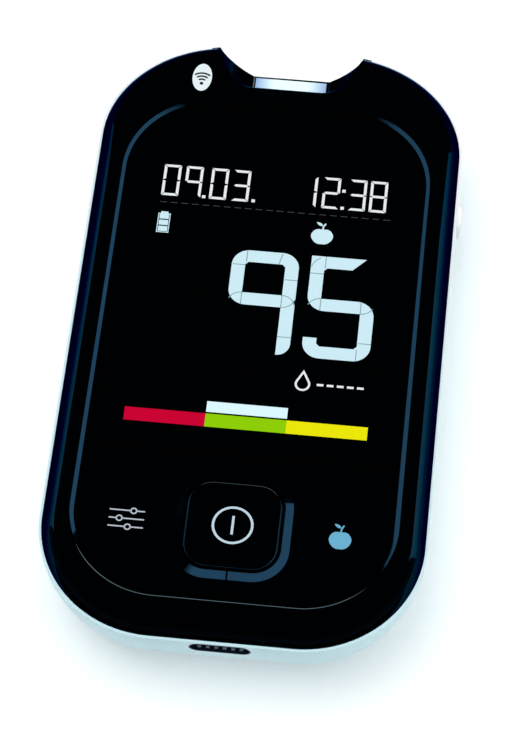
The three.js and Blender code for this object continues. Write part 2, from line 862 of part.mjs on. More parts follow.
function ejectorSlider() {
  const knobInner = sideX + seatGap - hullInset(sliderZ - sliderHeight / 2, 0);
  const knob = prismAlongX(roundedOutline(
    sliderY - sliderLength / 2, sliderY + sliderLength / 2,
    sliderZ - sliderHeight / 2, sliderZ + sliderHeight / 2,
    sliderHeight / 2 - hairlineGap,
  ), knobInner + casingLedge, sideX + sliderStand);
  const neck = block(
    sliderInnerX(), sideX + sliderStand / 2,
    sliderY - sliderNeckLength / 2, sliderY + sliderNeckLength / 2,
    sliderZ - sliderNeckHeight / 2, sliderZ + sliderNeckHeight / 2,
  );
  const leg = block(
    sliderInnerX(), sliderInnerX() + sliderFlange,
    sliderY - sliderNeckLength / 2, sliderY + sliderNeckLength / 2,
    pusherBottom(), sliderZ + sliderNeckHeight / 2,
  );
  return join(knob, neck, leg);
}

function pusherBottom() {
  return boardBottom - sliderLegDrop;
}

function ejectorPusher() {
  const top = pusherBottom() + pusherHeight;
  const bar = block(
    -fingerWidth / 2, sliderInnerX() - seatGap,
    sliderY - pusherLength / 2, sliderY + pusherLength / 2,
    pusherBottom(), top,
  );
  const fingerBottom = (stripSlotBottom + stripSlotTop - fingerHeight) / 2;
  const finger = block(
    -fingerWidth / 2, fingerWidth / 2,
    sliderY, sliderY + pusherLength / 2 + fingerLength,
    fingerBottom, fingerBottom + fingerHeight,
  );
  const riser = block(
    -fingerWidth / 2, fingerWidth / 2,
    sliderY - pusherLength / 2, sliderY + pusherLength / 2,
    pusherBottom(), fingerBottom + fingerHeight,
  );
  return join(bar, finger, riser);
}

// One unbroken wire wound round a line along Y, from the pusher to the screw boss
function ejectorSpring() {
  const x = screwUpperX;
  const z = pusherBottom() + pusherHeight / 2;
  const boss = screwHeadRadius + seatGap + bossWall;
  const nearY = sliderY + pusherLength / 2 + seatGap + springWire / 2;
  const farY = endY - screwUpperFromEnd - boss - seatGap - springWire / 2;
  const coil = new THREE.Curve();
  coil.getPoint = (share) => {
    const angle = share * springTurns * Math.PI * 2;
    return new THREE.Vector3(
      x + springRadius * Math.cos(angle),
      nearY + (farY - nearY) * share,
      z + springRadius * Math.sin(angle),
    );
  };
  const section = [];
  for (let side = 0; side < springWireSides; side += 1) {
    const angle = side / springWireSides * Math.PI * 2;
    section.push(new THREE.Vector2(Math.cos(angle), Math.sin(angle)).multiplyScalar(springWire / 2));
  }
  const geometry = new THREE.ExtrudeGeometry(new THREE.Shape(section), {
    steps: springTurns * springStepsPerTurn,
    extrudePath: coil,
    bevelEnabled: false,
  });
  return solidOf(geometry);
}

function batteryDoor() {
  const inner = doorInset + doorThickness;
  const plate = prism(doorOutline(0), doorInset, inner);
  const edge = bayY - doorHalfLength;
  const hookBottom = backWall + seatGap;
  const risers = tabCentres().map((x) => block(
    x - tabWidth / 2, x + tabWidth / 2, edge, edge + tabRiser, inner - doorThickness / 2, doorTabTop(),
  ));
  const hooks = tabCentres().map((x) => block(
    x - tabWidth / 2, x + tabWidth / 2, edge - tabHook, edge + tabRiser, hookBottom, doorTabTop(),
  ));
  const middle = (doorInset + inner) / 2;
  const ridge = block(
    -latchWidth / 2, latchWidth / 2,
    bayY, bayY + doorHalfLength + latchRidge,
    middle - latchRidgeHeight / 2, middle + latchRidgeHeight / 2,
  );
  return join(plate, ...risers, ...hooks, ridge);
}

function coinCell() {
  const profile = [
    new THREE.Vector2(0, cellBottom),
    new THREE.Vector2(cellRadius - cellRound, cellBottom),
    new THREE.Vector2(cellRadius, cellBottom + cellRound),
    new THREE.Vector2(cellRadius, cellTop - cellRound),
    new THREE.Vector2(cellRadius - cellRound, cellTop - cellRound),
    new THREE.Vector2(cellRadius - cellRound * 2, cellTop),
    new THREE.Vector2(0, cellTop),
  ];
  const geometry = new THREE.LatheGeometry(profile, roundSides);
  geometry.rotateX(quarterTurn);
  return geometry;
}

function negativeLeaf() {
  const toe = bayY - leafToe / 2;
  const heel = toe - leafSpan;
  const low = cellTop + seatGap;
  const outline = [
    new THREE.Vector2(heel - leafFoot, boardBottom - leafThickness),
    new THREE.Vector2(heel, boardBottom - leafThickness),
    new THREE.Vector2(toe, low),
    new THREE.Vector2(toe + leafToe, low),
    new THREE.Vector2(toe + leafToe, low + leafThickness),
    new THREE.Vector2(toe + leafThickness, low + leafThickness),
    new THREE.Vector2(heel + leafThickness, boardBottom),
    new THREE.Vector2(heel - leafFoot, boardBottom),
  ];
  return prismAlongX(outline, -leafWidth / 2, leafWidth / 2);
}

function positiveLeaf() {
  const near = bayY + cellRadius + seatGap;
  const low = cellBottom + seatGap;
  const outline = [
    new THREE.Vector2(near, low),
    new THREE.Vector2(near + leafThickness, low),
    new THREE.Vector2(near + leafThickness, boardBottom - leafThickness),
    new THREE.Vector2(near + leafThickness + leafFoot, boardBottom - leafThickness),
    new THREE.Vector2(near + leafThickness + leafFoot, boardBottom),
    new THREE.Vector2(near, boardBottom),
  ];
  return prismAlongX(outline, -leafWidth / 2, leafWidth / 2);
}

function socketShell() {
  const front = -endY + socketSetback;
  const low = boardTop;
  const high = boardTop + socketHeight;
  const outer = prismAlongY(
    roundedOutline(-socketWidth / 2, socketWidth / 2, low, high, socketHeight / 3),
    front, front + socketLength,
  );
  const inner = prismAlongY(
    roundedOutline(
      -socketWidth / 2 + socketShellWall, socketWidth / 2 - socketShellWall,
      low + socketShellWall, high - socketShellWall, socketHeight / 3 - socketShellWall,
    ),
    front - cutOverrun, front + socketLength - socketShellWall,
  );
  return cut(outer, inner);
}

function socketTongue() {
  const front = -endY + socketSetback + tongueSetback;
  const back = -endY + socketSetback + socketLength - socketShellWall - seatGap;
  const middle = boardTop + socketHeight / 2;
  const plate = block(
    -tongueWidth / 2, tongueWidth / 2, front, back,
    middle - tongueThickness / 2, middle + tongueThickness / 2,
  );
  const root = block(
    -tongueWidth / 2, tongueWidth / 2, back - socketLength / 4, back,
    boardTop + socketShellWall + seatGap / 2, boardTop + socketHeight - socketShellWall - seatGap / 2,
  );
  return join(plate, root);
}

function caseScrew([x, y]) {
  const headTop = screwHeadSeat + screwHeadHeight;
  const tip = boardTop + seatGap + screwBite;
  return cut(
    join(
      upright(screwHeadRadius, x, y, screwHeadSeat, headTop, smallRoundSides),
      upright(screwShankRadius, x, y, screwHeadSeat + screwHeadHeight / 2, tip, smallRoundSides),
    ),
    upright(screwSocketRadius, x, y, 0, screwHeadSeat + screwSocketDepth, smallRoundSides),
  );
}

// The meter
const meter = new THREE.Group();

function geometryOf(shape) {
  if (shape.isBufferGeometry) {
    return shape;
  }
  const mesh = shape.getMesh();
  const geometry = new THREE.BufferGeometry();
  geometry.setAttribute('position', new THREE.BufferAttribute(mesh.vertProperties, 3));
  geometry.setIndex(new THREE.BufferAttribute(mesh.triVerts, 1));
  geometry.computeVertexNormals();
  return geometry;
}

function add(name, shape, material) {
  const mesh = new THREE.Mesh(geometryOf(shape), material);
  mesh.name = name;
  meter.add(mesh);
  return mesh;
}

add('front_cover', frontCover(), glossBlack);
add('display_window', displayWindow(), lensBlack);
add('power_key', powerKey(), keyBlack);
add('set_key', sideKey(-1), keyBlack);
add('meal_key', sideKey(1), keyBlack);
add('rear_cover', rearCover(), casingWhite);
add('battery_door', batteryDoor(), casingWhite);
add('strip_port_bezel', stripPortBezel(), glossBlack);
add('strip_port_light_guide', lightGuide(), lightWhite);
add('strip_light_led', stripLight(), lightWhite);
add('strip_connector', stripConnector(), innerBlack);
contactCentres().forEach((x, index) => add(`strip_contact_${index + 1}`, stripContact(x), gold));
add('ejector_slider', ejectorSlider(), casingWhite);
add('ejector_pusher', ejectorPusher(), trayWhite);
add('ejector_spring', ejectorSpring(), steel);
add('key_mat', keyMat(), siliconeGrey);
['set_switch', 'power_switch', 'meal_switch'].forEach((name, index) => {
  add(name, keySwitch(keyCentres()[index]), steel);
});
add('main_board', mainBoard(), boardGreen);
add('lcd_module', displayGlass(), glassGrey);
add('backlight_panel', backlightPanel(), lightWhite);
add('lcd_frame', displayTray(), trayWhite);
add('display_flex', displayFlex(), flexAmber);
add('display_connector', displayConnector(), innerBlack);
add('processor_chip', processorChip(), innerBlack);
add('radio_module', chip(radioX, radioY, radioWidth, radioLength, radioHeight), steel);
const cell = add('coin_cell', coinCell(), steel);
cell.position.y = bayY;
add('battery_contact_negative', negativeLeaf(), steel);
add('battery_contact_positive', positiveLeaf(), steel);
add('socket_shell', socketShell(), steel);
add('socket_tongue', socketTongue(), innerBlack);
screwPlaces.forEach((place, index) => add(`case_screw_${index + 1}`, caseScrew(place), steel));

export default meter;
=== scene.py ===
import math

import bpy
from mathutils import Matrix, Vector
from mathutils.geometry import tessellate_polygon


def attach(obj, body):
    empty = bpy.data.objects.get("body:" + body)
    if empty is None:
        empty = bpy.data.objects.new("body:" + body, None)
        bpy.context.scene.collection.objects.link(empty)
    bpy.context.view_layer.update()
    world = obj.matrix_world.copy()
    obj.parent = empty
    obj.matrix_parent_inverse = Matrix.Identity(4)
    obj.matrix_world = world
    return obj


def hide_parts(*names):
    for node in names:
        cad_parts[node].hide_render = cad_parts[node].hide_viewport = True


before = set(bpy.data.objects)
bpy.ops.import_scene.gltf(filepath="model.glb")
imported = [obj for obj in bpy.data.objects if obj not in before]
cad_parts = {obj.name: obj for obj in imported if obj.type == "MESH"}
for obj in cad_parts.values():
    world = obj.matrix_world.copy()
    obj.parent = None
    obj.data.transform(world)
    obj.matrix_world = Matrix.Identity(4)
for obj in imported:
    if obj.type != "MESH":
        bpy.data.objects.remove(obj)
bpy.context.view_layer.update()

# Units and turns
MM = 0.001
QUARTER = math.pi / 2
FULL_TURN = math.pi * 2

# Counts
CORNER_STEPS = 28
SMALL_CORNER_STEPS = 10
CHAMFER_RINGS = 14
HULL_RINGS = 14
EDGE_RINGS = 4
STEP_RINGS = 6
SCOOP_STEPS = 40
SCOOP_CORNER_STEPS = 12
ROUND_SIDES = 64

# Gaps between pieces
SEAT_GAP = 0.3
HAIRLINE_GAP = 0.25
BEZEL_GAP = 0.2
CUT_OVERRUN = 2

# Covers
BODY_WIDTH = 53
BODY_LENGTH = 97.43
CASING_HEIGHT = 13.1
FRONT_RISE = 2.4
LOWER_CORNER_RADIUS = 16.7
UPPER_CORNER_ACROSS = 18.6
UPPER_CORNER_ALONG = 17
CASING_LEDGE = 0.37
CASING_CURVE_RADIUS = 18.7
CASING_WALL = 1.6
BACK_WALL = 1.8
BACK_EDGE_RADIUS = 2.2
CHAMFER_WIDTH = 2
CHAMFER_EXPONENT = 1.28
SKIRT_DEPTH = 1
SKIRT_WALL = 1.2
FLAT_MARGIN = 0.04
EDGE_ROUND = 0.1

# Display panel, let into the front cover
FRAME_SIDE_BAND = 3.74
FRAME_LOWER_BAND = 4.87
FRAME_UPPER_BAND = 10.8
PANEL_CORNER_RADIUS = 13.1
PANEL_STEP_WIDTH = 0.7
PANEL_STEP_DEPTH = 0.3
STEP_ROUND = 1.2
WINDOW_THICKNESS = 1.5
DECK_THICKNESS = 1
DISPLAY_SIDE_MARGIN = 5.06
DISPLAY_LOWER_MARGIN = 3.75
DISPLAY_UPPER_MARGIN = 10.06

# Keys
KEY_FIELD_HEIGHT = 22.45
KEY_RISE = 11.57
KEY_PLATE_THICKNESS = 1.2
POWER_KEY_SIZE = 13.2
POWER_KEY_CORNER_RADIUS = 3.5
POWER_KEY_EDGE = 0.3
COLLAR_TOP_WIDTH = 0.15
COLLAR_SLOPE_WIDTH = 1.1
COLLAR_HEIGHT = 0.4
COLLAR_CORNER_RADIUS = 5

# Finger scoop and strip port at the upper end
SCOOP_DEPTH = 8.21
SCOOP_HALF_WIDTH = 7.33
SCOOP_CORNER_RADIUS = 3.9
SCOOP_FLOOR_DEPTH = 8.2
SCOOP_SECTION_HALF_WIDTH = 11.2
SCOOP_SECTION_DEPTH = 9.55
SCOOP_FLARE_TURN = math.radians(62)
SCOOP_RIM = 0.18
BEZEL_WALL = 1.2
STRIP_SLOT_WIDTH = 6.4
STRIP_SLOT_HEIGHT = 0.9
STRIP_SILL = 0.45
LIGHT_HALF_WIDTH = 5.38
LIGHT_INNER_MARGIN = 1.95
LIGHT_OUTER_MARGIN = 0.87

# Strip ejector on the right side
SLIDER_FROM_END = 25.5
SLIDER_LENGTH = 5.2
SLIDER_HEIGHT = 3.8
SLIDER_DROP = 2.9
SLIDER_STAND = 1.15
SLIDER_NECK_LENGTH = 3.2
SLIDER_NECK_HEIGHT = 1.8
SLIDER_TRAVEL = 3
SLIDER_FLANGE = 0.9
SLIDER_LEG_DROP = 2
SLIDER_ROUND = 0.45

# Battery bay in the back
CELL_RADIUS = 10
CELL_THICKNESS = 3.2
BAY_FROM_LOWER_END = 26.7
BAY_WALL = 1.2
BAY_ROOF = 1
BAY_ROOF_HOLE_RADIUS = 6.5
DOOR_SIDE_MARGIN = 2.5
DOOR_END_MARGIN = 3
DOOR_THICKNESS = 1.4
DOOR_INSET = 0.05
DOOR_CORNER_RADIUS = 3
TAB_WIDTH = 4
TAB_OFFSET = 6
TAB_HOOK = 1.4
TAB_THICKNESS = 0.75
TAB_RISER = 1.4
LATCH_WIDTH = 7
LATCH_RIDGE = 0.12
LATCH_RIDGE_HEIGHT = 0.5
NAIL_NOTCH_WIDTH = 9
NAIL_NOTCH_LENGTH = 2.6
NAIL_NOTCH_DEPTH = 0.8
LEAF_THICKNESS = 0.3
LEAF_WIDTH = 3.6

# Data socket in the lower end
SOCKET_OPENING_WIDTH = 8.5
SOCKET_OPENING_HEIGHT = 2.9
SOCKET_STRIP_ABOVE = 0.3
SOCKET_WIDTH = 7.6
SOCKET_HEIGHT = 2.4
SOCKET_CORNER_RADIUS = 0.8
SOCKET_LENGTH = 5.5
SOCKET_SHELL_WALL = 0.3
SOCKET_SETBACK = 1.9
SOCKET_LINER_WALL = 0.2
SOCKET_PAD_COUNT = 6
SOCKET_PAD_PITCH = 1.15
SOCKET_PAD_WIDTH = 0.5
SOCKET_PAD_LENGTH = 0.32
SOCKET_PAD_RISE = 0.08
SOCKET_PAD_SETBACK = 0.35

# Case screws
SCREW_UPPER_FROM_SIDE = 10
SCREW_UPPER_FROM_END = 15.7
SCREW_LOWER_FROM_SIDE = 11
SCREW_LOWER_FROM_END = 10.7
SCREW_SHANK_RADIUS = 0.8
SCREW_HEAD_RADIUS = 1.6
SCREW_HEAD_HEIGHT = 1.2
SCREW_HEAD_SEAT = 2.6
BOSS_WALL = 1.1

# Stack of heights in the middle of the meter
MAT_THICKNESS = 0.8
STUD_DROP = 0.25
SWITCH_HEIGHT = 0.85
BOARD_THICKNESS = 1

# Heights worked out from the sizes above
BODY_DEPTH = CASING_HEIGHT + FRONT_RISE
PANEL_TOP = BODY_DEPTH - PANEL_STEP_DEPTH
WINDOW_BOTTOM = PANEL_TOP - WINDOW_THICKNESS
DECK_TOP = WINDOW_BOTTOM - SEAT_GAP
DECK_BOTTOM = DECK_TOP - DECK_THICKNESS
KEY_TOP = PANEL_TOP + COLLAR_HEIGHT
BOARD_TOP = DECK_BOTTOM - SEAT_GAP * 2 - MAT_THICKNESS - STUD_DROP - SWITCH_HEIGHT
BOARD_BOTTOM = BOARD_TOP - BOARD_THICKNESS
SKIRT_BOTTOM = CASING_HEIGHT - SKIRT_DEPTH
SCOOP_FLOOR = BODY_DEPTH - SCOOP_FLOOR_DEPTH
STRIP_SLOT_BOTTOM = SCOOP_FLOOR + STRIP_SILL
STRIP_SLOT_TOP = STRIP_SLOT_BOTTOM + STRIP_SLOT_HEIGHT
CELL_BOTTOM = DOOR_INSET + DOOR_THICKNESS + SEAT_GAP
CELL_TOP = CELL_BOTTOM + CELL_THICKNESS
BAY_TOP = CELL_TOP + SEAT_GAP + BAY_ROOF
TAB_TOP = BACK_WALL + SEAT_GAP + TAB_THICKNESS

# Places worked out from the sizes above
SIDE_X = BODY_WIDTH / 2
END_Y = BODY_LENGTH / 2
PANEL_SIDE = SIDE_X - FRAME_SIDE_BAND
PANEL_LOWER_Y = -END_Y + FRAME_LOWER_BAND
PANEL_UPPER_Y = END_Y - FRAME_UPPER_BAND
KEY_Y = PANEL_LOWER_Y + KEY_RISE
KEY_FIELD_Y = PANEL_LOWER_Y + KEY_FIELD_HEIGHT
DISPLAY_SIDE = PANEL_SIDE - DISPLAY_SIDE_MARGIN
DISPLAY_LOWER_Y = KEY_FIELD_Y + DISPLAY_LOWER_MARGIN
DISPLAY_UPPER_Y = PANEL_UPPER_Y - DISPLAY_UPPER_MARGIN
SCOOP_WALL_Y = END_Y - SCOOP_DEPTH
BAY_Y = -END_Y + BAY_FROM_LOWER_END
DOOR_SIDE = CELL_RADIUS + DOOR_SIDE_MARGIN
DOOR_HALF_LENGTH = CELL_RADIUS + DOOR_END_MARGIN
SLIDER_Y = END_Y - SLIDER_FROM_END
SLIDER_Z = CASING_HEIGHT - SLIDER_DROP
SLIDER_INNER_X = SIDE_X - FRAME_SIDE_BAND + SEAT_GAP
SCREW_PLACES = [
    (side * (SIDE_X - from_side), y)
    for from_side, y in (
        (SCREW_UPPER_FROM_SIDE, END_Y - SCREW_UPPER_FROM_END),
        (SCREW_LOWER_FROM_SIDE, -END_Y + SCREW_LOWER_FROM_END),
    )
    for side in (-1, 1)
]


# Solids
def mesh_object(name, points, faces):
    mesh = bpy.data.meshes.new(name)
    mesh.from_pydata(points, [], faces)
    mesh.update()
    piece = bpy.data.objects.new(name, mesh)
    bpy.context.scene.collection.objects.link(piece)
    return piece


def loft(rings, closed=False):
    """A skin through rings that have as many points each, capped unless it closes on itself."""
    count = len(rings[0])
    points = [point for ring in rings for point in ring]
    faces = []
    levels = len(rings) if closed else len(rings) - 1
    for level in range(levels):
        low = level * count
        high = (level + 1) % len(rings) * count
        for step in range(count):
            after = (step + 1) % count
            faces.append((low + step, low + after, high + after, high + step))
    if not closed:
        faces.append(tuple(reversed(range(count))))
        faces.append(tuple(range(len(points) - count, len(points))))
    return mesh_object("tool", points, faces)


def level_ring(outline, z):
    return [(x, y, z) for x, y in outline]


def prism(outline, low, high):
    return loft([level_ring(outline, low), level_ring(outline, high)])


def prism_along_y(outline, near, far):
    """An outline in X and Z carried along Y."""
    rings = [[(x, y, z) for x, z in reversed(outline)] for y in (near, far)]
    return loft(rings)


def block(from_x, to_x, from_y, to_y, from_z, to_z):
    corners = [(from_x, from_y), (to_x, from_y), (to_x, to_y), (from_x, to_y)]
    return prism(corners, from_z, to_z)


def upright(radius, x, y, low, high):
    turns = [FULL_TURN * side / ROUND_SIDES for side in range(ROUND_SIDES)]
    outline = [(x + radius * math.cos(turn), y + radius * math.sin(turn)) for turn in turns]
    return prism(outline, low, high)


def rounding(radius):
    """A quarter round from a side to a face: how far each step is in from the side, and how far
    under the face."""
    turns = [QUARTER * step / EDGE_RINGS for step in range(EDGE_RINGS + 1)]
    return [(radius * (1 - math.cos(turn)), radius * (1 - math.sin(turn))) for turn in turns]


def combine(piece, operation, tools):
    for tool in tools:
        modifier = piece.modifiers.new(operation, "BOOLEAN")
        modifier.operation = operation
        modifier.solver = "MANIFOLD"
        modifier.object = tool
        graph = bpy.context.evaluated_depsgraph_get()
        before = piece.data
        result = bpy.data.meshes.new_from_object(piece.evaluated_get(graph))
        piece.modifiers.clear()
        piece.data = result
        bpy.data.meshes.remove(before)
        bpy.data.objects.remove(tool)
    return piece


def cut(piece, *tools):
    return combine(piece, "DIFFERENCE", tools)


def join(piece, *tools):
    return combine(piece, "UNION", tools)


def keep_inside(piece, *tools):
    return combine(piece, "INTERSECT", tools)


# Outlines
def arc(centre_x, centre_y, radius_x, radius_y, start_quarter, steps):
    turns = [(start_quarter + step / steps) * QUARTER for step in range(steps + 1)]
    return [
        (centre_x + radius_x * math.cos(turn), centre_y + radius_y * math.sin(turn))
        for turn in turns
    ]


def rounded_outline(left, right, low, high, radius, steps=SMALL_CORNER_STEPS):
    return [
        *arc(right - radius, low + radius, radius, radius, -1, steps),
        *arc(right - radius, high - radius, radius, radius, 0, steps),
        *arc(left + radius, high - radius, radius, radius, 1, steps),
        *arc(left + radius, low + radius, radius, radius, 2, steps),
    ]


def body_outline(inset):
    side = SIDE_X - inset
    end = END_Y - inset
    lower = LOWER_CORNER_RADIUS - inset
    across = UPPER_CORNER_ACROSS - inset
    along = UPPER_CORNER_ALONG - inset
    return [
        *arc(side - lower, -end + lower, lower, lower, -1, CORNER_STEPS),
        *arc(side - across, end - along, across, along, 0, CORNER_STEPS),
        *arc(-side + across, end - along, across, along, 1, CORNER_STEPS),
        *arc(-side + lower, -end + lower, lower, lower, 2, CORNER_STEPS),
    ]


def panel_outline(inset):
    return rounded_outline(
        -PANEL_SIDE + inset,
        PANEL_SIDE - inset,
        PANEL_LOWER_Y + inset,
        PANEL_UPPER_Y - inset,
        PANEL_CORNER_RADIUS - inset,
        CORNER_STEPS,
    )


def key_outline(half_size, radius):
    return rounded_outline(
        -half_size, half_size, KEY_Y - half_size, KEY_Y + half_size, radius, SMALL_CORNER_STEPS
    )


def door_outline(grow):
    return rounded_outline(
        -DOOR_SIDE - grow,
        DOOR_SIDE + grow,
        BAY_Y - DOOR_HALF_LENGTH - grow,
        BAY_Y + DOOR_HALF_LENGTH + grow,
        DOOR_CORNER_RADIUS + grow,
    )


# The lower casing's curved side, a given depth under its skin
def hull_inset(height, under_skin):
    reach = CASING_CURVE_RADIUS - under_skin
    lean = math.asin(max(CASING_HEIGHT - height, 0) / reach)
    return CASING_CURVE_RADIUS - reach * math.cos(lean) - CASING_LEDGE


def casing_body():
    shrink = BACK_EDGE_RADIUS / CASING_CURVE_RADIUS
    edge_top = (BACK_EDGE_RADIUS - CASING_HEIGHT * shrink) / (1 - shrink)
    edge_lean = math.asin((CASING_HEIGHT - edge_top) / CASING_CURVE_RADIUS)
    steps = EDGE_RINGS * 2
    rings = []
    for step in range(steps, 0, -1):
        lean = edge_lean + (QUARTER - edge_lean) * step / steps
        run = BACK_EDGE_RADIUS * (math.cos(edge_lean) - math.cos(lean))
        drop = BACK_EDGE_RADIUS * (math.sin(lean) - math.sin(edge_lean))
        z = 0 if step == steps else edge_top - drop
        rings.append(level_ring(body_outline(hull_inset(edge_top, 0) + run), z))
    for step in range(HULL_RINGS + 1):
        z = edge_top + (CASING_HEIGHT - edge_top) * step / HULL_RINGS
        rings.append(level_ring(body_outline(hull_inset(z, 0)), z))
    return loft(rings)


def casing_hollow():
    rings = []
    for step in range(HULL_RINGS + 1):
        z = BACK_WALL + (CASING_HEIGHT - BACK_WALL) * step / HULL_RINGS
        rings.append(level_ring(body_outline(hull_inset(z, CASING_WALL)), z))
    rings.append(level_ring(body_outline(CASING_WALL - CASING_LEDGE), CASING_HEIGHT + CUT_OVERRUN))
    return loft(rings)


# The finger scoop: a flared plan outline crossed with a round-bottomed end section
def scoop_plan(offset):
    wall_y = SCOOP_WALL_Y - offset
    corner = SCOOP_HALF_WIDTH + offset / math.tan((math.pi - SCOOP_FLARE_TURN) / 2)
    radius = SCOOP_CORNER_RADIUS + offset
    tangent = radius * math.tan(SCOOP_FLARE_TURN / 2)
    reach = SCOOP_DEPTH + offset + CUT_OVERRUN
    right = [(corner + reach / math.tan(SCOOP_FLARE_TURN), wall_y + reach)]
    for step in range(SCOOP_CORNER_STEPS, -1, -1):
        turn = SCOOP_FLARE_TURN * step / SCOOP_CORNER_STEPS
        x = corner - tangent + radius * math.sin(turn)
        right.append((x, wall_y + radius * (1 - math.cos(turn))))
    left = [(-x, y) for x, y in right]
    return [*left, *reversed(right)]


def scoop_section(offset):
    across = SCOOP_SECTION_HALF_WIDTH + offset
    deep = SCOOP_SECTION_DEPTH + offset
    floor_turn = math.asin((SCOOP_FLOOR_DEPTH + offset) / deep)
    top = BODY_DEPTH + CUT_OVERRUN + COLLAR_HEIGHT
    turns = [floor_turn * step / SCOOP_STEPS for step in range(SCOOP_STEPS + 1)]
    left = [(-across * math.cos(turn), BODY_DEPTH - deep * math.sin(turn)) for turn in turns]
    right = [(-x, z) for x, z in reversed(left)]
    return [(-across, top), *left, *right, (across, top)]


def scoop(offset):
    plan = prism(scoop_plan(offset), -CUT_OVERRUN, BODY_DEPTH + CUT_OVERRUN)
    section = prism_along_y(scoop_section(offset), SCOOP_WALL_Y - SCOOP_DEPTH, END_Y + SCOOP_DEPTH)
    return keep_inside(plan, section)


def scoop_rim():
    """Breaks the sharp edge where the scoop's walls meet the flat front."""
    low = BODY_DEPTH - SCOOP_RIM
    walls = loft([level_ring(scoop_plan(rise), low + rise) for rise in (0, SCOOP_RIM + CUT_OVERRUN)])
    across = SCOOP_SECTION_HALF_WIDTH + SCOOP_RIM
    room = block(-across, across, SCOOP_WALL_Y - SCOOP_DEPTH, END_Y + SCOOP_DEPTH, low, low + SCOOP_DEPTH)
    return keep_inside(walls, room)


def light_window(low, high):
    strip = block(
        -LIGHT_HALF_WIDTH, LIGHT_HALF_WIDTH, SCOOP_WALL_Y + LIGHT_INNER_MARGIN, END_Y, low, high
    )
    return keep_inside(strip, prism(body_outline(LIGHT_OUTER_MARGIN), low, high))


def socket_outline(grow):
    top = CASING_HEIGHT - SOCKET_STRIP_ABOVE + grow
    low = CASING_HEIGHT - SOCKET_STRIP_ABOVE - SOCKET_OPENING_HEIGHT - grow
    side = SOCKET_OPENING_WIDTH / 2 + grow
    return rounded_outline(-side, side, low, top, (top - low) / 2)


# Materials, kept by name
materials = {}

# The curve between linear light and the levels that are seen
SEEN_LEVELS = 255
SEEN_KNEE = 0.04045
SEEN_SLOPE = 12.92
SEEN_LIFT = 0.055
SEEN_POWER = 2.4

# Looks that a grained material has unless it says otherwise
PLAIN_LOOKS = dict(grain=0.25, relief=0.004, patch=6, mottle=0.08, swing=0.05, metallic=0, glow=0)
PATCH_DETAIL = 4
GRAIN_DETAIL = 3
GRAIN_STRENGTH = 0.6
LEAST_ROUGHNESS = 0.01


def node(tree, kind, **values):
    made = tree.nodes.new(kind)
    for name, value in values.items():
        if name in made.inputs:
            made.inputs[name].default_value = value
        else:
            setattr(made, name, value)
    return made


def wire(tree, source, output, target, entry):
    tree.links.new(source.outputs[output], target.inputs[entry])


def fed(tree, kind, source, output, entry, **values):
    """A node that takes another node's output."""
    made = node(tree, kind, **values)
    wire(tree, source, output, made, entry)
    return made


def ramp(tree, source, output, stops):
    """A colour ramp between two stops, each a position and a colour."""
    made = fed(tree, "ShaderNodeValToRGB", source, output, "Fac")
    for stop, (position, shade) in zip(made.color_ramp.elements, stops):
        stop.position = position
        stop.color = shade
    return made


def colour(*seen):
    """A colour written as it is seen, from 0 to 255, as the linear one that shaders take."""
    shares = [level / SEEN_LEVELS for level in seen]
    return (*[
        s / SEEN_SLOPE if s <= SEEN_KNEE else ((s + SEEN_LIFT) / (1 + SEEN_LIFT)) ** SEEN_POWER
        for s in shares
    ], 1)


def new_material(name):
    made = bpy.data.materials.new(name)
    made.use_nodes = True
    materials[name] = made
    return made.node_tree, made.node_tree.nodes["Principled BSDF"]


def noise(tree, where, size, detail):
    return fed(tree, "ShaderNodeTexNoise", where, "Object", "Vector", Scale=1 / (size * MM), Detail=detail)


def roughen(tree, shader, where, size, detail, strength, relief):
    """A bump of grains, of a size and relief in millimetres."""
    grains = noise(tree, where, size, detail)
    bump = fed(tree, "ShaderNodeBump", grains, "Fac", "Height", Strength=strength, Distance=relief * MM)
    wire(tree, bump, "Normal", shader, "Normal")


def grained(name, base, roughness, **looks):
    """A material with colour mottle, uneven gloss and a fine bump.

    grain is the size of the bump's grain in millimetres and relief its height; patch is the
    mottle's size, mottle how far the colour swings and swing how far the roughness does."""
    looks = {**PLAIN_LOOKS, **looks}
    mottle, swing = looks["mottle"], looks["swing"]
    tree, shader = new_material(name)
    where = node(tree, "ShaderNodeTexCoord")
    patches = noise(tree, where, looks["patch"], PATCH_DETAIL)
    shades = ramp(tree, patches, "Fac", [
        (end, (*[min(channel * level, 1) for channel in base[:3]], 1))
        for end, level in enumerate((1 - mottle, 1 + mottle))
    ])
    wire(tree, shades, "Color", shader, "Base Color")
    gloss = fed(tree, "ShaderNodeMapRange", patches, "Fac", "Value", **{
        "To Min": max(roughness - swing, LEAST_ROUGHNESS), "To Max": roughness + swing,
    })
    wire(tree, gloss, "Result", shader, "Roughness")
    roughen(tree, shader, where, looks["grain"], GRAIN_DETAIL, GRAIN_STRENGTH, looks["relief"])
    shader.inputs["Metallic"].default_value = looks["metallic"]
    if "tint" in looks:
        shader.inputs["Specular Tint"].default_value = looks["tint"]
    if looks["glow"]:
        wire(tree, shades, "Color", shader, "Emission Color")
        shader.inputs["Emission Strength"].default_value = looks["glow"]
    return shader


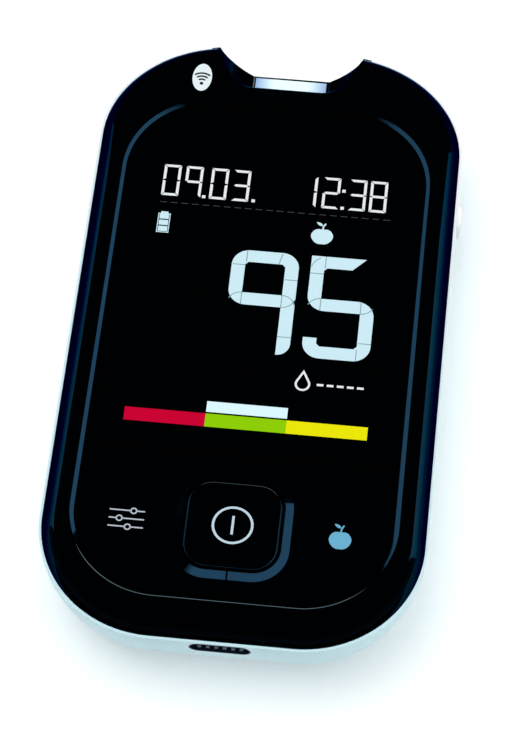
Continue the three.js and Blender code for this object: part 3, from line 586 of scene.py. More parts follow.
# Black lacquer with a steel-blue sheen: how much it mirrors head on, and at a low angle
LACQUER_SHEEN = (0.0028, 0.0105, 0.02)
LACQUER_EDGE_SHEEN = (0.1, 0.3, 0.42, 1)
LACQUER = dict(metallic=1, tint=LACQUER_EDGE_SHEEN)
grained("gloss_black", LACQUER_SHEEN, 0.05, grain=1.2, relief=0.0006, swing=0.015, **LACQUER)
grained("lens_black", LACQUER_SHEEN, 0.04, grain=2.5, relief=0.0003, swing=0.01, **LACQUER)
grained("key_black", LACQUER_SHEEN, 0.06, grain=0.5, relief=0.0006, swing=0.015, **LACQUER)
grained("port_black", colour(4, 26, 48), 0.4, grain=0.15, mottle=0.2)
grained("casing_white", colour(208, 241, 248), 0.38, grain=0.12, relief=0.006, mottle=0.02)
grained("knob_white", colour(252, 253, 252), 0.4, grain=0.12, relief=0.006, mottle=0.02)
grained("inner_white", colour(236, 236, 230), 0.5, mottle=0.03)
grained("inner_black", colour(34, 35, 37), 0.45, mottle=0.2)
grained("silicone_grey", colour(142, 145, 149), 0.7, relief=0.01)
grained("board_green", colour(28, 92, 58), 0.4, mottle=0.25, patch=1.5)
grained("spring_steel", colour(190, 193, 198), 0.28, metallic=1, grain=0.08)
grained("contact_gold", colour(214, 170, 84), 0.25, metallic=1, grain=0.08)
grained("pad_silver", colour(160, 180, 198), 0.4, grain=0.1)
grained("cell_steel", colour(202, 204, 206), 0.22, metallic=1, grain=0.05)
grained("radio_can", colour(182, 184, 188), 0.35, metallic=1, grain=0.2)
grained("flex_amber", colour(172, 112, 44), 0.4, mottle=0.15)
grained("glass_grey", colour(48, 54, 60), 0.08, relief=0.0003)
grained("backlight_white", colour(240, 244, 250), 0.3, mottle=0.02, glow=0.3)

# Print and display segments: how much light they give back in all, and how much is their own glow; on the
# display segments this glow is their backlight, on the key prints and the cover mark it is painted light
PRINT_SHARE = 0.98
PRINT_GLOW_SHARE = 0.3
PRINT_ROUGHNESS = 0.5
PRINT_LOOKS = dict(grain=0.3, relief=0.001, mottle=0.03, patch=2)


def printed(name, seen, glow=PRINT_GLOW_SHARE):
    """Print or display segment that holds its colour against the black round it by a glow of its own colour:
    backlight on the display, painted glow on the printed marks.
    """
    base = [channel * (PRINT_SHARE - glow) for channel in colour(*seen)]
    shader = grained(name, base, PRINT_ROUGHNESS, **PRINT_LOOKS)
    shader.inputs["Emission Color"].default_value = colour(*seen)
    shader.inputs["Emission Strength"].default_value = glow
    shader.inputs["Specular IOR Level"].default_value = 0


printed("mark_dark", (6, 8, 12), glow=0)
# Display segments glow by their backlight; the key prints and mark_white get the same glow as painted light
for name, seen in {
    "segment_white": (208, 237, 246),
    "segment_pale": (235, 238, 240),
    "segment_gap": (132, 160, 160),
    "dash_grey": (74, 77, 80),
    "bar_red": (204, 5, 52),
    "bar_green": (143, 206, 9),
    "bar_yellow": (238, 232, 13),
    "bar_white": (222, 250, 255),
    "key_print_pale": (196, 216, 230),
    "key_print_grey": (190, 198, 208),
    "key_print_blue": (109, 178, 210),
    "mark_white": (232, 243, 246),
}.items():
    printed(name, seen)

# The lit pane: its glow stands for the strip light shining through it, and a painted falloff of that light,
# set in both its colour and its glow, keeps it near white in its middle part and makes it bluer and dimmer
# towards its two ends
PANE_LIT_MIDDLE_SHARE = 0.45
PANE_LIT_MIDDLE = colour(210, 234, 234)
PANE_DIMMER_ENDS = colour(128, 164, 205)
PANE_LOOKS = {"Emission Strength": 0.45, "Specular IOR Level": 0.05, "Roughness": 0.25}
PANE_GRAIN = 0.6
PANE_GRAIN_DETAIL = 2
PANE_GRAIN_STRENGTH = 0.3
PANE_RELIEF = 0.002


def light_pane():
    tree, shader = new_material("light_pane")
    where = node(tree, "ShaderNodeTexCoord")
    axes = fed(tree, "ShaderNodeSeparateXYZ", where, "Object", "Vector")
    across = fed(tree, "ShaderNodeMath", axes, "X", 0, operation="ABSOLUTE")
    reach = fed(tree, "ShaderNodeMapRange", across, "Value", "Value", **{"From Max": LIGHT_HALF_WIDTH * MM})
    # Painted falloff of the pane's light from its lit middle to its dimmer ends
    shades = ramp(tree, reach, "Result", [(PANE_LIT_MIDDLE_SHARE, PANE_LIT_MIDDLE), (1, PANE_DIMMER_ENDS)])
    roughen(tree, shader, where, PANE_GRAIN, PANE_GRAIN_DETAIL, PANE_GRAIN_STRENGTH, PANE_RELIEF)
    for entry in ("Base Color", "Emission Color"):
        wire(tree, shades, "Color", shader, entry)
    for entry, value in PANE_LOOKS.items():
        shader.inputs[entry].default_value = value


light_pane()

# Edges sharper than this many degrees stay sharp
SMOOTH_UNDER = 30
COVER_SMOOTH_UNDER = 22
MARK_SMOOTH_UNDER = 20
COLLAR_SMOOTH_UNDER = 15


# Placing
def place(piece, name, body, material, replaced=None, smooth_under=SMOOTH_UNDER):
    piece.name = name
    mesh = piece.data
    mesh.name = name
    mesh.transform(Matrix.Scale(MM, 4))
    mesh.materials.clear()
    mesh.materials.append(materials[material])
    mesh.polygons.foreach_set("material_index", [0] * len(mesh.polygons))
    mesh.shade_smooth()
    mesh.set_sharp_from_angle(angle=math.radians(smooth_under))
    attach(piece, body)
    if replaced:
        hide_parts(replaced)


# Covers
def chamfer_profile():
    """Rises and insets, as shares, of the front's convex edge, which meets the flat at a line."""
    power = 2 / CHAMFER_EXPONENT
    steps = [*range(CHAMFER_RINGS - 1), CHAMFER_RINGS]
    turns = [QUARTER * step / CHAMFER_RINGS for step in steps]
    return [(math.sin(turn) ** power, 1 - math.cos(turn) ** power) for turn in turns]


def front_cover():
    skirt_inset = CASING_WALL - CASING_LEDGE + SEAT_GAP
    skirt_inner = skirt_inset + SKIRT_WALL
    hole = rounded_outline(
        -DISPLAY_SIDE - SEAT_GAP,
        DISPLAY_SIDE + SEAT_GAP,
        DISPLAY_LOWER_Y - SEAT_GAP,
        DISPLAY_UPPER_Y + SEAT_GAP,
        SEAT_GAP,
        CORNER_STEPS,
    )
    slope = math.atan(PANEL_STEP_DEPTH / PANEL_STEP_WIDTH)
    reach = STEP_ROUND * math.tan(slope / 2)
    rings = [
        level_ring(body_outline(CHAMFER_WIDTH * inset), CASING_HEIGHT + FRONT_RISE * rise)
        for rise, inset in chamfer_profile()
    ]
    rings.append(level_ring(body_outline(CHAMFER_WIDTH + FLAT_MARGIN), BODY_DEPTH))
    rings.append(level_ring(panel_outline(-reach - FLAT_MARGIN), BODY_DEPTH))
    for step in range(STEP_RINGS + 1):
        lean = slope * step / STEP_RINGS
        inset = STEP_ROUND * math.sin(lean) - reach
        drop = STEP_ROUND * (1 - math.cos(lean))
        rings.append(level_ring(panel_outline(inset), BODY_DEPTH - drop))
    rings += [
        level_ring(panel_outline(PANEL_STEP_WIDTH), PANEL_TOP),
        level_ring(panel_outline(PANEL_STEP_WIDTH + FLAT_MARGIN / 2), PANEL_TOP - FLAT_MARGIN),
        level_ring(panel_outline(PANEL_STEP_WIDTH + FLAT_MARGIN / 2), DECK_TOP),
        level_ring(hole, DECK_TOP),
        level_ring(hole, DECK_BOTTOM),
        level_ring(body_outline(skirt_inner), DECK_BOTTOM),
        level_ring(body_outline(skirt_inner), SKIRT_BOTTOM),
        level_ring(body_outline(skirt_inset), SKIRT_BOTTOM),
        level_ring(body_outline(skirt_inset), CASING_HEIGHT),
    ]
    shell = loft(rings, closed=True)
    bezel_room = keep_inside(
        scoop(BEZEL_WALL + BEZEL_GAP),
        block(-SIDE_X, SIDE_X, 0, END_Y + CUT_OVERRUN, 0, CASING_HEIGHT),
    )
    return cut(shell, scoop(0), bezel_room, scoop_rim())


def rear_cover():
    boss_radius = SCREW_HEAD_RADIUS + SEAT_GAP + BOSS_WALL
    bosses = [
        upright(boss_radius, x, y, BACK_WALL / 2, BOARD_BOTTOM - SEAT_GAP) for x, y in SCREW_PLACES
    ]
    heads = [
        upright(
            SCREW_HEAD_RADIUS + SEAT_GAP, x, y, -CUT_OVERRUN,
            SCREW_HEAD_SEAT + SCREW_HEAD_HEIGHT + SEAT_GAP,
        )
        for x, y in SCREW_PLACES
    ]
    shanks = [
        upright(SCREW_SHANK_RADIUS + SEAT_GAP, x, y, -CUT_OVERRUN, BOARD_BOTTOM + CUT_OVERRUN)
        for x, y in SCREW_PLACES
    ]
    bay = block(
        -DOOR_SIDE - HAIRLINE_GAP - BAY_WALL,
        DOOR_SIDE + HAIRLINE_GAP + BAY_WALL,
        BAY_Y - DOOR_HALF_LENGTH - HAIRLINE_GAP - BAY_WALL - TAB_HOOK,
        BAY_Y + DOOR_HALF_LENGTH + HAIRLINE_GAP + BAY_WALL,
        BACK_WALL / 2,
        BAY_TOP,
    )
    low_end = BAY_Y - DOOR_HALF_LENGTH
    tab_side = TAB_WIDTH / 2 + SEAT_GAP
    tab_rooms = []
    for x in (-TAB_OFFSET, TAB_OFFSET):
        tab_rooms.append(block(
            x - tab_side, x + tab_side,
            low_end - TAB_HOOK - SEAT_GAP, low_end + TAB_TOP + SEAT_GAP,
            BACK_WALL, TAB_TOP + TAB_HOOK,
        ))
        tab_rooms.append(block(
            x - tab_side, x + tab_side,
            low_end - HAIRLINE_GAP, low_end + TAB_TOP + SEAT_GAP,
            0, TAB_TOP + TAB_HOOK,
        ))
    leaf_room = block(
        -LEAF_WIDTH / 2 - SEAT_GAP, LEAF_WIDTH / 2 + SEAT_GAP,
        BAY_Y, BAY_Y + CELL_RADIUS + SEAT_GAP * 2 + LEAF_THICKNESS,
        CELL_BOTTOM, BAY_TOP + CUT_OVERRUN,
    )
    nail_notch = prism(rounded_outline(
        -NAIL_NOTCH_WIDTH / 2, NAIL_NOTCH_WIDTH / 2,
        BAY_Y + DOOR_HALF_LENGTH - NAIL_NOTCH_LENGTH, BAY_Y + DOOR_HALF_LENGTH + NAIL_NOTCH_LENGTH,
        NAIL_NOTCH_LENGTH / 2,
    ), -CUT_OVERRUN, NAIL_NOTCH_DEPTH)
    neck = SLIDER_NECK_LENGTH / 2 + SEAT_GAP
    high = SLIDER_NECK_HEIGHT / 2 + SEAT_GAP
    slider_passage = block(
        SIDE_X - FRAME_SIDE_BAND, SIDE_X + CUT_OVERRUN,
        SLIDER_Y - neck, SLIDER_Y + neck + SLIDER_TRAVEL,
        SLIDER_Z - high, SLIDER_Z + high,
    )
    shell = cut(casing_body(), casing_hollow())
    return cut(
        join(shell, bay, *bosses),
        *heads, *shanks,
        prism(door_outline(HAIRLINE_GAP), -CUT_OVERRUN, CELL_BOTTOM),
        upright(CELL_RADIUS + SEAT_GAP, 0, BAY_Y, 0, CELL_TOP + SEAT_GAP),
        upright(BAY_ROOF_HOLE_RADIUS, 0, BAY_Y, 0, BAY_TOP + CUT_OVERRUN),
        *tab_rooms, leaf_room, nail_notch,
        prism_along_y(socket_outline(0), -END_Y - CUT_OVERRUN, -END_Y + SOCKET_LENGTH),
        slider_passage,
        scoop(BEZEL_WALL + BEZEL_GAP),
    )


def strip_port_bezel():
    slot = block(
        -STRIP_SLOT_WIDTH / 2, STRIP_SLOT_WIDTH / 2,
        SCOOP_WALL_Y - BEZEL_WALL - CUT_OVERRUN, SCOOP_WALL_Y + CUT_OVERRUN,
        STRIP_SLOT_BOTTOM, STRIP_SLOT_TOP,
    )
    lining = keep_inside(scoop(BEZEL_WALL), casing_body())
    return cut(lining, scoop(0), slot, light_window(0, BODY_DEPTH))


# Window and keys
def panel_plate(thickness):
    return prism(panel_outline(PANEL_STEP_WIDTH + HAIRLINE_GAP), PANEL_TOP - thickness, PANEL_TOP)


def display_window():
    room = block(-SIDE_X, SIDE_X, KEY_FIELD_Y + HAIRLINE_GAP, END_Y, 0, BODY_DEPTH)
    return keep_inside(panel_plate(WINDOW_THICKNESS), room)


def side_key(side):
    outer = POWER_KEY_SIZE / 2 + HAIRLINE_GAP + COLLAR_TOP_WIDTH + COLLAR_SLOPE_WIDTH
    inner = outer - COLLAR_SLOPE_WIDTH
    inner_radius = POWER_KEY_CORNER_RADIUS + HAIRLINE_GAP + COLLAR_TOP_WIDTH
    collar = loft([
        level_ring(key_outline(outer, COLLAR_CORNER_RADIUS), PANEL_TOP - KEY_PLATE_THICKNESS / 2),
        level_ring(key_outline(outer, COLLAR_CORNER_RADIUS), PANEL_TOP),
        level_ring(key_outline(inner, inner_radius), KEY_TOP),
    ])
    hole = prism(
        key_outline(POWER_KEY_SIZE / 2 + HAIRLINE_GAP, POWER_KEY_CORNER_RADIUS + HAIRLINE_GAP),
        0, BODY_DEPTH + CUT_OVERRUN,
    )
    near, far = sorted((side * HAIRLINE_GAP / 2, side * SIDE_X))
    own_side = block(near, far, -END_Y, KEY_FIELD_Y, 0, BODY_DEPTH + CUT_OVERRUN)
    return keep_inside(cut(join(panel_plate(KEY_PLATE_THICKNESS), collar), hole), own_side)


def power_key():
    half = POWER_KEY_SIZE / 2
    rings = [level_ring(key_outline(half, POWER_KEY_CORNER_RADIUS), PANEL_TOP - KEY_PLATE_THICKNESS)]
    for run, drop in rounding(POWER_KEY_EDGE):
        rings.append(level_ring(key_outline(half - run, POWER_KEY_CORNER_RADIUS - run), KEY_TOP - drop))
    run = POWER_KEY_EDGE + FLAT_MARGIN
    rings.append(level_ring(key_outline(half - run, POWER_KEY_CORNER_RADIUS - run), KEY_TOP))
    return loft(rings)


# Ejector, door, socket
def ejector_slider():
    inner = SIDE_X + SEAT_GAP - hull_inset(SLIDER_Z - SLIDER_HEIGHT / 2, 0) + CASING_LEDGE
    outer = SIDE_X + SLIDER_STAND
    rings = []
    for x, inset in [(inner, 0), *((outer - drop, run) for run, drop in rounding(SLIDER_ROUND))]:
        outline = rounded_outline(
            SLIDER_Y - SLIDER_LENGTH / 2 + inset, SLIDER_Y + SLIDER_LENGTH / 2 - inset,
            SLIDER_Z - SLIDER_HEIGHT / 2 + inset, SLIDER_Z + SLIDER_HEIGHT / 2 - inset,
            SLIDER_HEIGHT / 2 - HAIRLINE_GAP - inset,
        )
        rings.append([(x, y, z) for y, z in outline])
    knob = loft(rings)
    near = SLIDER_Y - SLIDER_NECK_LENGTH / 2
    far = SLIDER_Y + SLIDER_NECK_LENGTH / 2
    top = SLIDER_Z + SLIDER_NECK_HEIGHT / 2
    neck = block(SLIDER_INNER_X, SIDE_X, near, far, SLIDER_Z - SLIDER_NECK_HEIGHT / 2, top)
    leg = block(
        SLIDER_INNER_X, SLIDER_INNER_X + SLIDER_FLANGE, near, far, BOARD_BOTTOM - SLIDER_LEG_DROP, top
    )
    return join(knob, neck, leg)


def battery_door():
    inner = DOOR_INSET + DOOR_THICKNESS
    rings = [level_ring(door_outline(-run), DOOR_INSET + rise) for rise, run in rounding(EDGE_ROUND)]
    rings.append(level_ring(door_outline(0), inner))
    plate = loft(rings)
    edge = BAY_Y - DOOR_HALF_LENGTH
    tabs = []
    for x in (-TAB_OFFSET, TAB_OFFSET):
        side = TAB_WIDTH / 2
        tabs.append(block(
            x - side, x + side, edge, edge + TAB_RISER, inner - DOOR_THICKNESS / 2, TAB_TOP
        ))
        tabs.append(block(
            x - side, x + side, edge - TAB_HOOK, edge + TAB_RISER, BACK_WALL + SEAT_GAP, TAB_TOP
        ))
    middle = (DOOR_INSET + inner) / 2
    ridge = block(
        -LATCH_WIDTH / 2, LATCH_WIDTH / 2,
        BAY_Y, BAY_Y + DOOR_HALF_LENGTH + LATCH_RIDGE,
        middle - LATCH_RIDGE_HEIGHT / 2, middle + LATCH_RIDGE_HEIGHT / 2,
    )
    return join(plate, *tabs, ridge)


def socket_shell():
    front = -END_Y + SOCKET_SETBACK
    low = BOARD_TOP
    high = BOARD_TOP + SOCKET_HEIGHT
    radius = SOCKET_CORNER_RADIUS
    wall = SOCKET_SHELL_WALL
    side = SOCKET_WIDTH / 2
    outer = prism_along_y(rounded_outline(-side, side, low, high, radius), front, front + SOCKET_LENGTH)
    inner = prism_along_y(
        rounded_outline(-side + wall, side - wall, low + wall, high - wall, radius - wall),
        front - CUT_OVERRUN, front + SOCKET_LENGTH - wall,
    )
    return cut(outer, inner)


def socket_liner():
    """The dark sleeve between the end wall and the socket."""
    front = -END_Y - CUT_OVERRUN
    back = -END_Y + SOCKET_SETBACK
    sleeve = cut(
        prism_along_y(socket_outline(0), front, back),
        prism_along_y(socket_outline(-SOCKET_LINER_WALL), front - CUT_OVERRUN, back + CUT_OVERRUN),
    )
    return keep_inside(sleeve, casing_body())


def socket_pads():
    """The row of pale contacts along the lower lip of the socket's mouth."""
    lip = CASING_HEIGHT - SOCKET_STRIP_ABOVE - SOCKET_OPENING_HEIGHT + SOCKET_LINER_WALL
    first = -SOCKET_PAD_PITCH * (SOCKET_PAD_COUNT - 1) / 2
    near = -END_Y + SOCKET_PAD_SETBACK
    pads = []
    for index in range(SOCKET_PAD_COUNT):
        x = first + SOCKET_PAD_PITCH * index
        pads.append(block(
            x - SOCKET_PAD_WIDTH / 2, x + SOCKET_PAD_WIDTH / 2,
            near, near + SOCKET_PAD_LENGTH,
            lip - SOCKET_LINER_WALL / 2, lip + SOCKET_PAD_RISE,
        ))
    return join(*pads)


place(front_cover(), "front_cover_shell", "root", "gloss_black", "front_cover",
      COVER_SMOOTH_UNDER)
place(rear_cover(), "rear_cover_shell", "root", "casing_white", "rear_cover")
place(strip_port_bezel(), "scoop_lining", "root", "gloss_black", "strip_port_bezel")
place(display_window(), "window_lens", "root", "lens_black", "display_window")
place(power_key(), "power_key_cap", "power_key_body", "key_black", "power_key")
for side, key in ((-1, "set_key"), (1, "meal_key")):
    place(side_key(side), f"{key}_plate", f"{key}_body", "key_black", key, COLLAR_SMOOTH_UNDER)
place(ejector_slider(), "ejector_knob", "ejector_body", "knob_white", "ejector_slider")
place(battery_door(), "battery_door_plate", "battery_door_body", "casing_white",
      "battery_door")
place(socket_shell(), "socket_can", "root", "spring_steel", "socket_shell")
place(socket_liner(), "socket_mouth_liner", "root", "port_black")
place(socket_pads(), "socket_mouth_contacts", "root", "pad_silver")

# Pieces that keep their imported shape, under the material that they get
for material, names in {
    "light_pane": ["strip_port_light_guide"],
    "backlight_white": ["strip_light_led", "backlight_panel"],
    "inner_black": ["strip_connector", "display_connector", "processor_chip", "socket_tongue"],
    "contact_gold": ["strip_contact_1", "strip_contact_2", "strip_contact_3"],
    "inner_white": ["ejector_pusher", "lcd_frame"],
    "spring_steel": [
        "ejector_spring", "set_switch", "power_switch", "meal_switch", "battery_contact_negative",
        "battery_contact_positive", "case_screw_1", "case_screw_2", "case_screw_3", "case_screw_4",
    ],
    "silicone_grey": ["key_mat"],
    "board_green": ["main_board"],
    "glass_grey": ["lcd_module"],
    "flex_amber": ["display_flex"],
    "radio_can": ["radio_module"],
    "cell_steel": ["coin_cell"],
}.items():
    for name in names:
        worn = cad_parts[name].data.materials
        worn.clear()
        worn.append(materials[material])

# Flat marks, as thin plates that stand just proud of the surface they are on
MARK_SINK = 0.02
MARK_RISE = 0.02
MARK_STEPS = 12
CIRCLE_STEPS = 48
SMALL_CIRCLE_STEPS = 24
LEAST_MITRE_SHARE = 0.3


def plate(name, regions, surface_z, body, material, slot, lift=0):
    """regions is a list of [outer loop, hole loops...], each loop a list of (x, y)."""
    low = surface_z - MARK_SINK
    high = surface_z + MARK_RISE + lift
    points = []
    faces = []
    for region in regions:
        base = len(points)
        loops = [[Vector((x, y, 0)) for x, y in loop] for loop in region]
        flat = [point for loop in loops for point in loop]
        count = len(flat)
        points += [(point.x, point.y, low) for point in flat]
        points += [(point.x, point.y, high) for point in flat]
        for a, b, c in tessellate_polygon(loops):
            turn = (flat[b] - flat[a]).cross(flat[c] - flat[a]).z
            up = (a, b, c) if turn > 0 else (c, b, a)
            faces.append(tuple(base + count + corner for corner in up))
            faces.append(tuple(base + corner for corner in reversed(up)))
        start = 0
        for loop in loops:
            size = len(loop)
            area = sum(
                loop[i].x * loop[(i + 1) % size].y - loop[(i + 1) % size].x * loop[i].y
                for i in range(size)
            )
            outer = loop is loops[0]
            forward = (area > 0) == outer
            for i in range(size):
                here = base + start + i
                after = base + start + (i + 1) % size
                wall = (here, after, after + count, here + count)
                faces.append(wall if forward else tuple(reversed(wall)))
            start += size
    piece = mesh_object(name, points, faces)
    place(piece, name, body, material, smooth_under=MARK_SMOOTH_UNDER)


def ribbon(path, width, closed=False):
    """A stroke of one width along a path of (x, y) points, as a region for plate()."""
    points = [Vector(point) for point in path]
    count = len(points)
    left = []
    right = []
    for i, point in enumerate(points):
        before = points[i - 1] if i or closed else point
        after = points[(i + 1) % count] if i < count - 1 or closed else point
        if before == point:
            before = point - (after - point)
        if after == point:
            after = point + (point - before)
        into = (point - before).normalized()
        out = (after - point).normalized()
        along = (into + out).normalized()
        across = Vector((-along.y, along.x))
        reach = width / 2 / max(across.dot(Vector((-into.y, into.x))), LEAST_MITRE_SHARE)
        left.append(tuple(point + across * reach))
        right.append(tuple(point - across * reach))
    if closed:
        return [right, left]
    return [[*right, *reversed(left)]]


def box_loop(left, right, low, high):
    return [(left, low), (right, low), (right, high), (left, high)]


def ellipse(centre_x, centre_y, radius_x, radius_y, steps=CIRCLE_STEPS):
    turns = [FULL_TURN * step / steps for step in range(steps)]
    return [
        (centre_x + radius_x * math.cos(turn), centre_y + radius_y * math.sin(turn))
        for turn in turns
    ]


def swing(centre_x, centre_y, radius, from_degrees, to_degrees, steps=MARK_STEPS):
    turns = [
        math.radians(from_degrees + (to_degrees - from_degrees) * step / steps)
        for step in range(steps + 1)
    ]
    return [
        (centre_x + radius * math.cos(turn), centre_y + radius * math.sin(turn)) for turn in turns
    ]


def shifted(loops, x, y):
    return [[(x + px, y + py) for px, py in loop] for loop in loops]


# Large digits; the turns of their arcs are in degrees
LARGE_WIDTH = 9.68
LARGE_HEIGHT = 16.9
LARGE_STROKE = 1.95
LARGE_BAR_LOW = 7.8
LARGE_BAR_HIGH = 9.8
LARGE_RADIUS = 2.5
LARGE_INNER_CUT = 0.45
LARGE_TAIL_RADIUS = 1.9
LARGE_PINCH = 0.2
LARGE_FIVE_TOP_LENGTH = 7.9
LARGE_FIVE_TIP_SLANT = 1.9
LARGE_HOOK_HEIGHT = 3.3
LARGE_Y = -4.745
NINE_X = -4.76
FIVE_X = 6.61
GAP_LINE = 0.12
GAP_RISE = 1
TAIL_TURNS = (-75, 0)
LEFT_GAP_TURNS = (90, 155)
RIGHT_GAP_TURNS = (10, 90)
CORNER_GAP_TURNS = (118, 165)
NINE_LOW_GAP_TURNS = (-90, -15)
FIVE_LOW_GAP_TURNS = (-90, -30)


def corner(centre_x, centre_y, radius, start_quarter):
    return arc(centre_x, centre_y, radius, radius, start_quarter, MARK_STEPS)


def shared_gaps():
    """The gap lines that both large digits have."""
    stroke, inner = LARGE_STROKE, LARGE_WIDTH - LARGE_STROKE
    return [
        [(stroke + GAP_LINE, LARGE_HEIGHT - stroke), (stroke + GAP_LINE, LARGE_HEIGHT)],
        [(stroke, LARGE_BAR_LOW), (stroke, LARGE_BAR_HIGH)],
        swing(stroke, LARGE_BAR_HIGH - stroke, stroke, *LEFT_GAP_TURNS),
        [(inner, LARGE_BAR_LOW), (inner, LARGE_BAR_HIGH)],
    ]


def large_nine():
    width, height, stroke = LARGE_WIDTH, LARGE_HEIGHT, LARGE_STROKE
    radius, cut_off, tail = LARGE_RADIUS, LARGE_INNER_CUT, LARGE_TAIL_RADIUS
    inner = width - stroke
    middle = (LARGE_BAR_LOW + LARGE_BAR_HIGH) / 2
    outer_loop = [
        (inner, 0),
        *swing(width - tail, tail, tail, *TAIL_TURNS),
        (width, middle - LARGE_PINCH * 2),
        (width - LARGE_PINCH, middle),
        (width, middle + LARGE_PINCH * 2),
        *corner(width - radius, height - radius, radius, 0),
        *corner(radius, height - radius, radius, 1),
        *corner(radius, LARGE_BAR_LOW + radius, radius, 2),
        (inner, LARGE_BAR_LOW),
    ]
    hole = [
        (stroke, LARGE_BAR_HIGH),
        (inner, LARGE_BAR_HIGH),
        (inner, height - stroke - cut_off),
        (inner - cut_off, height - stroke),
        (stroke + cut_off, height - stroke),
        (stroke, height - stroke - cut_off),
    ]
    gaps = [
        *shared_gaps(),
        [(inner - stroke / 2, height - stroke), (width - radius, height - GAP_LINE)],
        [(GAP_LINE, height - radius), (stroke, height - radius)],
        [(inner + GAP_LINE, height - radius - stroke), (width, height - radius - stroke)],
        swing(inner, LARGE_BAR_HIGH - stroke, stroke, *RIGHT_GAP_TURNS),
        swing(inner, LARGE_BAR_LOW + stroke, stroke, *NINE_LOW_GAP_TURNS),
        [(inner, stroke + GAP_RISE), (width, stroke + GAP_RISE)],
    ]
    return [outer_loop, hole], gaps


def large_five():
    width, height, stroke = LARGE_WIDTH, LARGE_HEIGHT, LARGE_STROKE
    radius, cut_off = LARGE_RADIUS, LARGE_INNER_CUT
    inner = width - stroke
    loop = [
        *corner(radius, radius, radius, 2),
        *corner(width - radius, radius, radius, 3),
        *corner(width - radius, LARGE_BAR_HIGH - radius, radius, 0),
        (stroke, LARGE_BAR_HIGH),
        (stroke, height - stroke - cut_off),
        (stroke + cut_off, height - stroke),
        (LARGE_FIVE_TOP_LENGTH - LARGE_FIVE_TIP_SLANT, height - stroke),
        (LARGE_FIVE_TOP_LENGTH, height),
        (0, height),
        *corner(radius, LARGE_BAR_LOW + radius, radius, 2),
        (inner, LARGE_BAR_LOW),
        (inner, stroke + cut_off),
        (inner - cut_off, stroke),
        (stroke + cut_off, stroke),
        (stroke, stroke + cut_off),
        (stroke, LARGE_HOOK_HEIGHT),
        (0, LARGE_HOOK_HEIGHT),
    ]
    gaps = [
        *shared_gaps(),
        swing(radius, height - radius, radius, *CORNER_GAP_TURNS),
        [(0, height - radius - cut_off), (stroke, height - radius - cut_off)],
        swing(inner, LARGE_BAR_LOW + stroke, stroke, *FIVE_LOW_GAP_TURNS),
        [(inner + GAP_LINE, stroke + GAP_RISE), (width, stroke + GAP_RISE)],
        [(inner, 0), (inner, stroke)],
    ]
    return [loop], gaps


# Small digits in seven segments
SMALL_WIDTH = 2.5
SMALL_HEIGHT = 5.35
SMALL_STROKE = 0.4
SMALL_Y = 20.37
SMALL_JOINT = 0.07
SMALL_DOT = 0.5
SMALL_COLON_SHARE = 0.6
SEGMENTS_OF = {
    "0": "abcdef", "1": "bc", "2": "abged", "3": "abgcd", "8": "abcdefg", "9": "abcfg",
}
DATE_DIGITS = [("0", -16.35), ("9", -13.1), ("0", -9.35), ("3", -6.1)]
DATE_DOTS = [-10.1, -2.85]
TIME_DIGITS = [("1", 3.75), ("2", 7.1), ("3", 10.95), ("8", 14.0)]
TIME_COLON_X = 10.15


def segment_loops():
    width, height, stroke, joint = SMALL_WIDTH, SMALL_HEIGHT, SMALL_STROKE, SMALL_JOINT
    middle = height / 2
    half = stroke / 2

    def lying(low_outer):
        """A bar along the top or bottom, slanted at its two ends."""
        inner = low_outer + stroke if low_outer == 0 else low_outer - stroke
        return [
            (joint, low_outer), (width - joint, low_outer),
            (width - stroke - joint, inner), (stroke + joint, inner),
        ]

    def standing(outer_x, far_y):
        inner_x = stroke if outer_x == 0 else width - stroke
        near = stroke + joint if far_y == 0 else height - stroke - joint
        middle_y = middle - joint if far_y == 0 else middle + joint
        cut_y = middle - half if far_y == 0 else middle + half
        edge = joint if far_y == 0 else height - joint
        return [(outer_x, edge), (inner_x, near), (inner_x, cut_y), (outer_x, middle_y)]

    return {
        "a": lying(height),
        "d": lying(0),
        "b": standing(width, height),
        "c": standing(width, 0),
        "e": standing(0, 0),
        "f": standing(0, height),
        "g": [
            (stroke / 2, middle), (stroke + joint, middle - half),
            (width - stroke - joint, middle - half), (width - stroke / 2, middle),
            (width - stroke - joint, middle + half), (stroke + joint, middle + half),
        ],
    }


def small_digits():
    loops = segment_loops()
    regions = []
    for digit, x in [*DATE_DIGITS, *TIME_DIGITS]:
        for segment in SEGMENTS_OF[digit]:
            regions.append(shifted([loops[segment]], x, SMALL_Y))
    half = SMALL_DOT / 2
    middle = SMALL_Y + SMALL_HEIGHT * SMALL_COLON_SHARE
    dots = [(x, SMALL_Y + half) for x in [*DATE_DOTS, TIME_COLON_X]] + [(TIME_COLON_X, middle)]
    for x, y in dots:
        regions.append([box_loop(x - half, x + half, y - half, y + half)])
    return regions


# A plain whole fruit; its body is dented at these quarters, with spreads in radians
FRUIT_BODY_SHARE = 0.76
FRUIT_TAPER_SHARE = 0.1
FRUIT_DENT_QUARTERS = (1, 3)
FRUIT_DENT_SHARES = (0.16, 0.07)
FRUIT_DENT_SPREADS = (0.42, 0.3)
STEM_FOOT_SHARE = 0.84
STEM_X_SHARES = (0, 0.03, 0.12)
STEM_Y_SHARES = (0, 0.14, 0.28)
STEM_WIDTH_SHARE = 0.07
LEAF_X_SHARE = -0.14
LEAF_Y_SHARE = 0.24
LEAF_LENGTH_SHARE = 0.19
LEAF_WIDTH_SHARE = 0.07
LEAF_ALONG_SHARE = 0.85
LEAF_SLANT_SHARE = 0.5


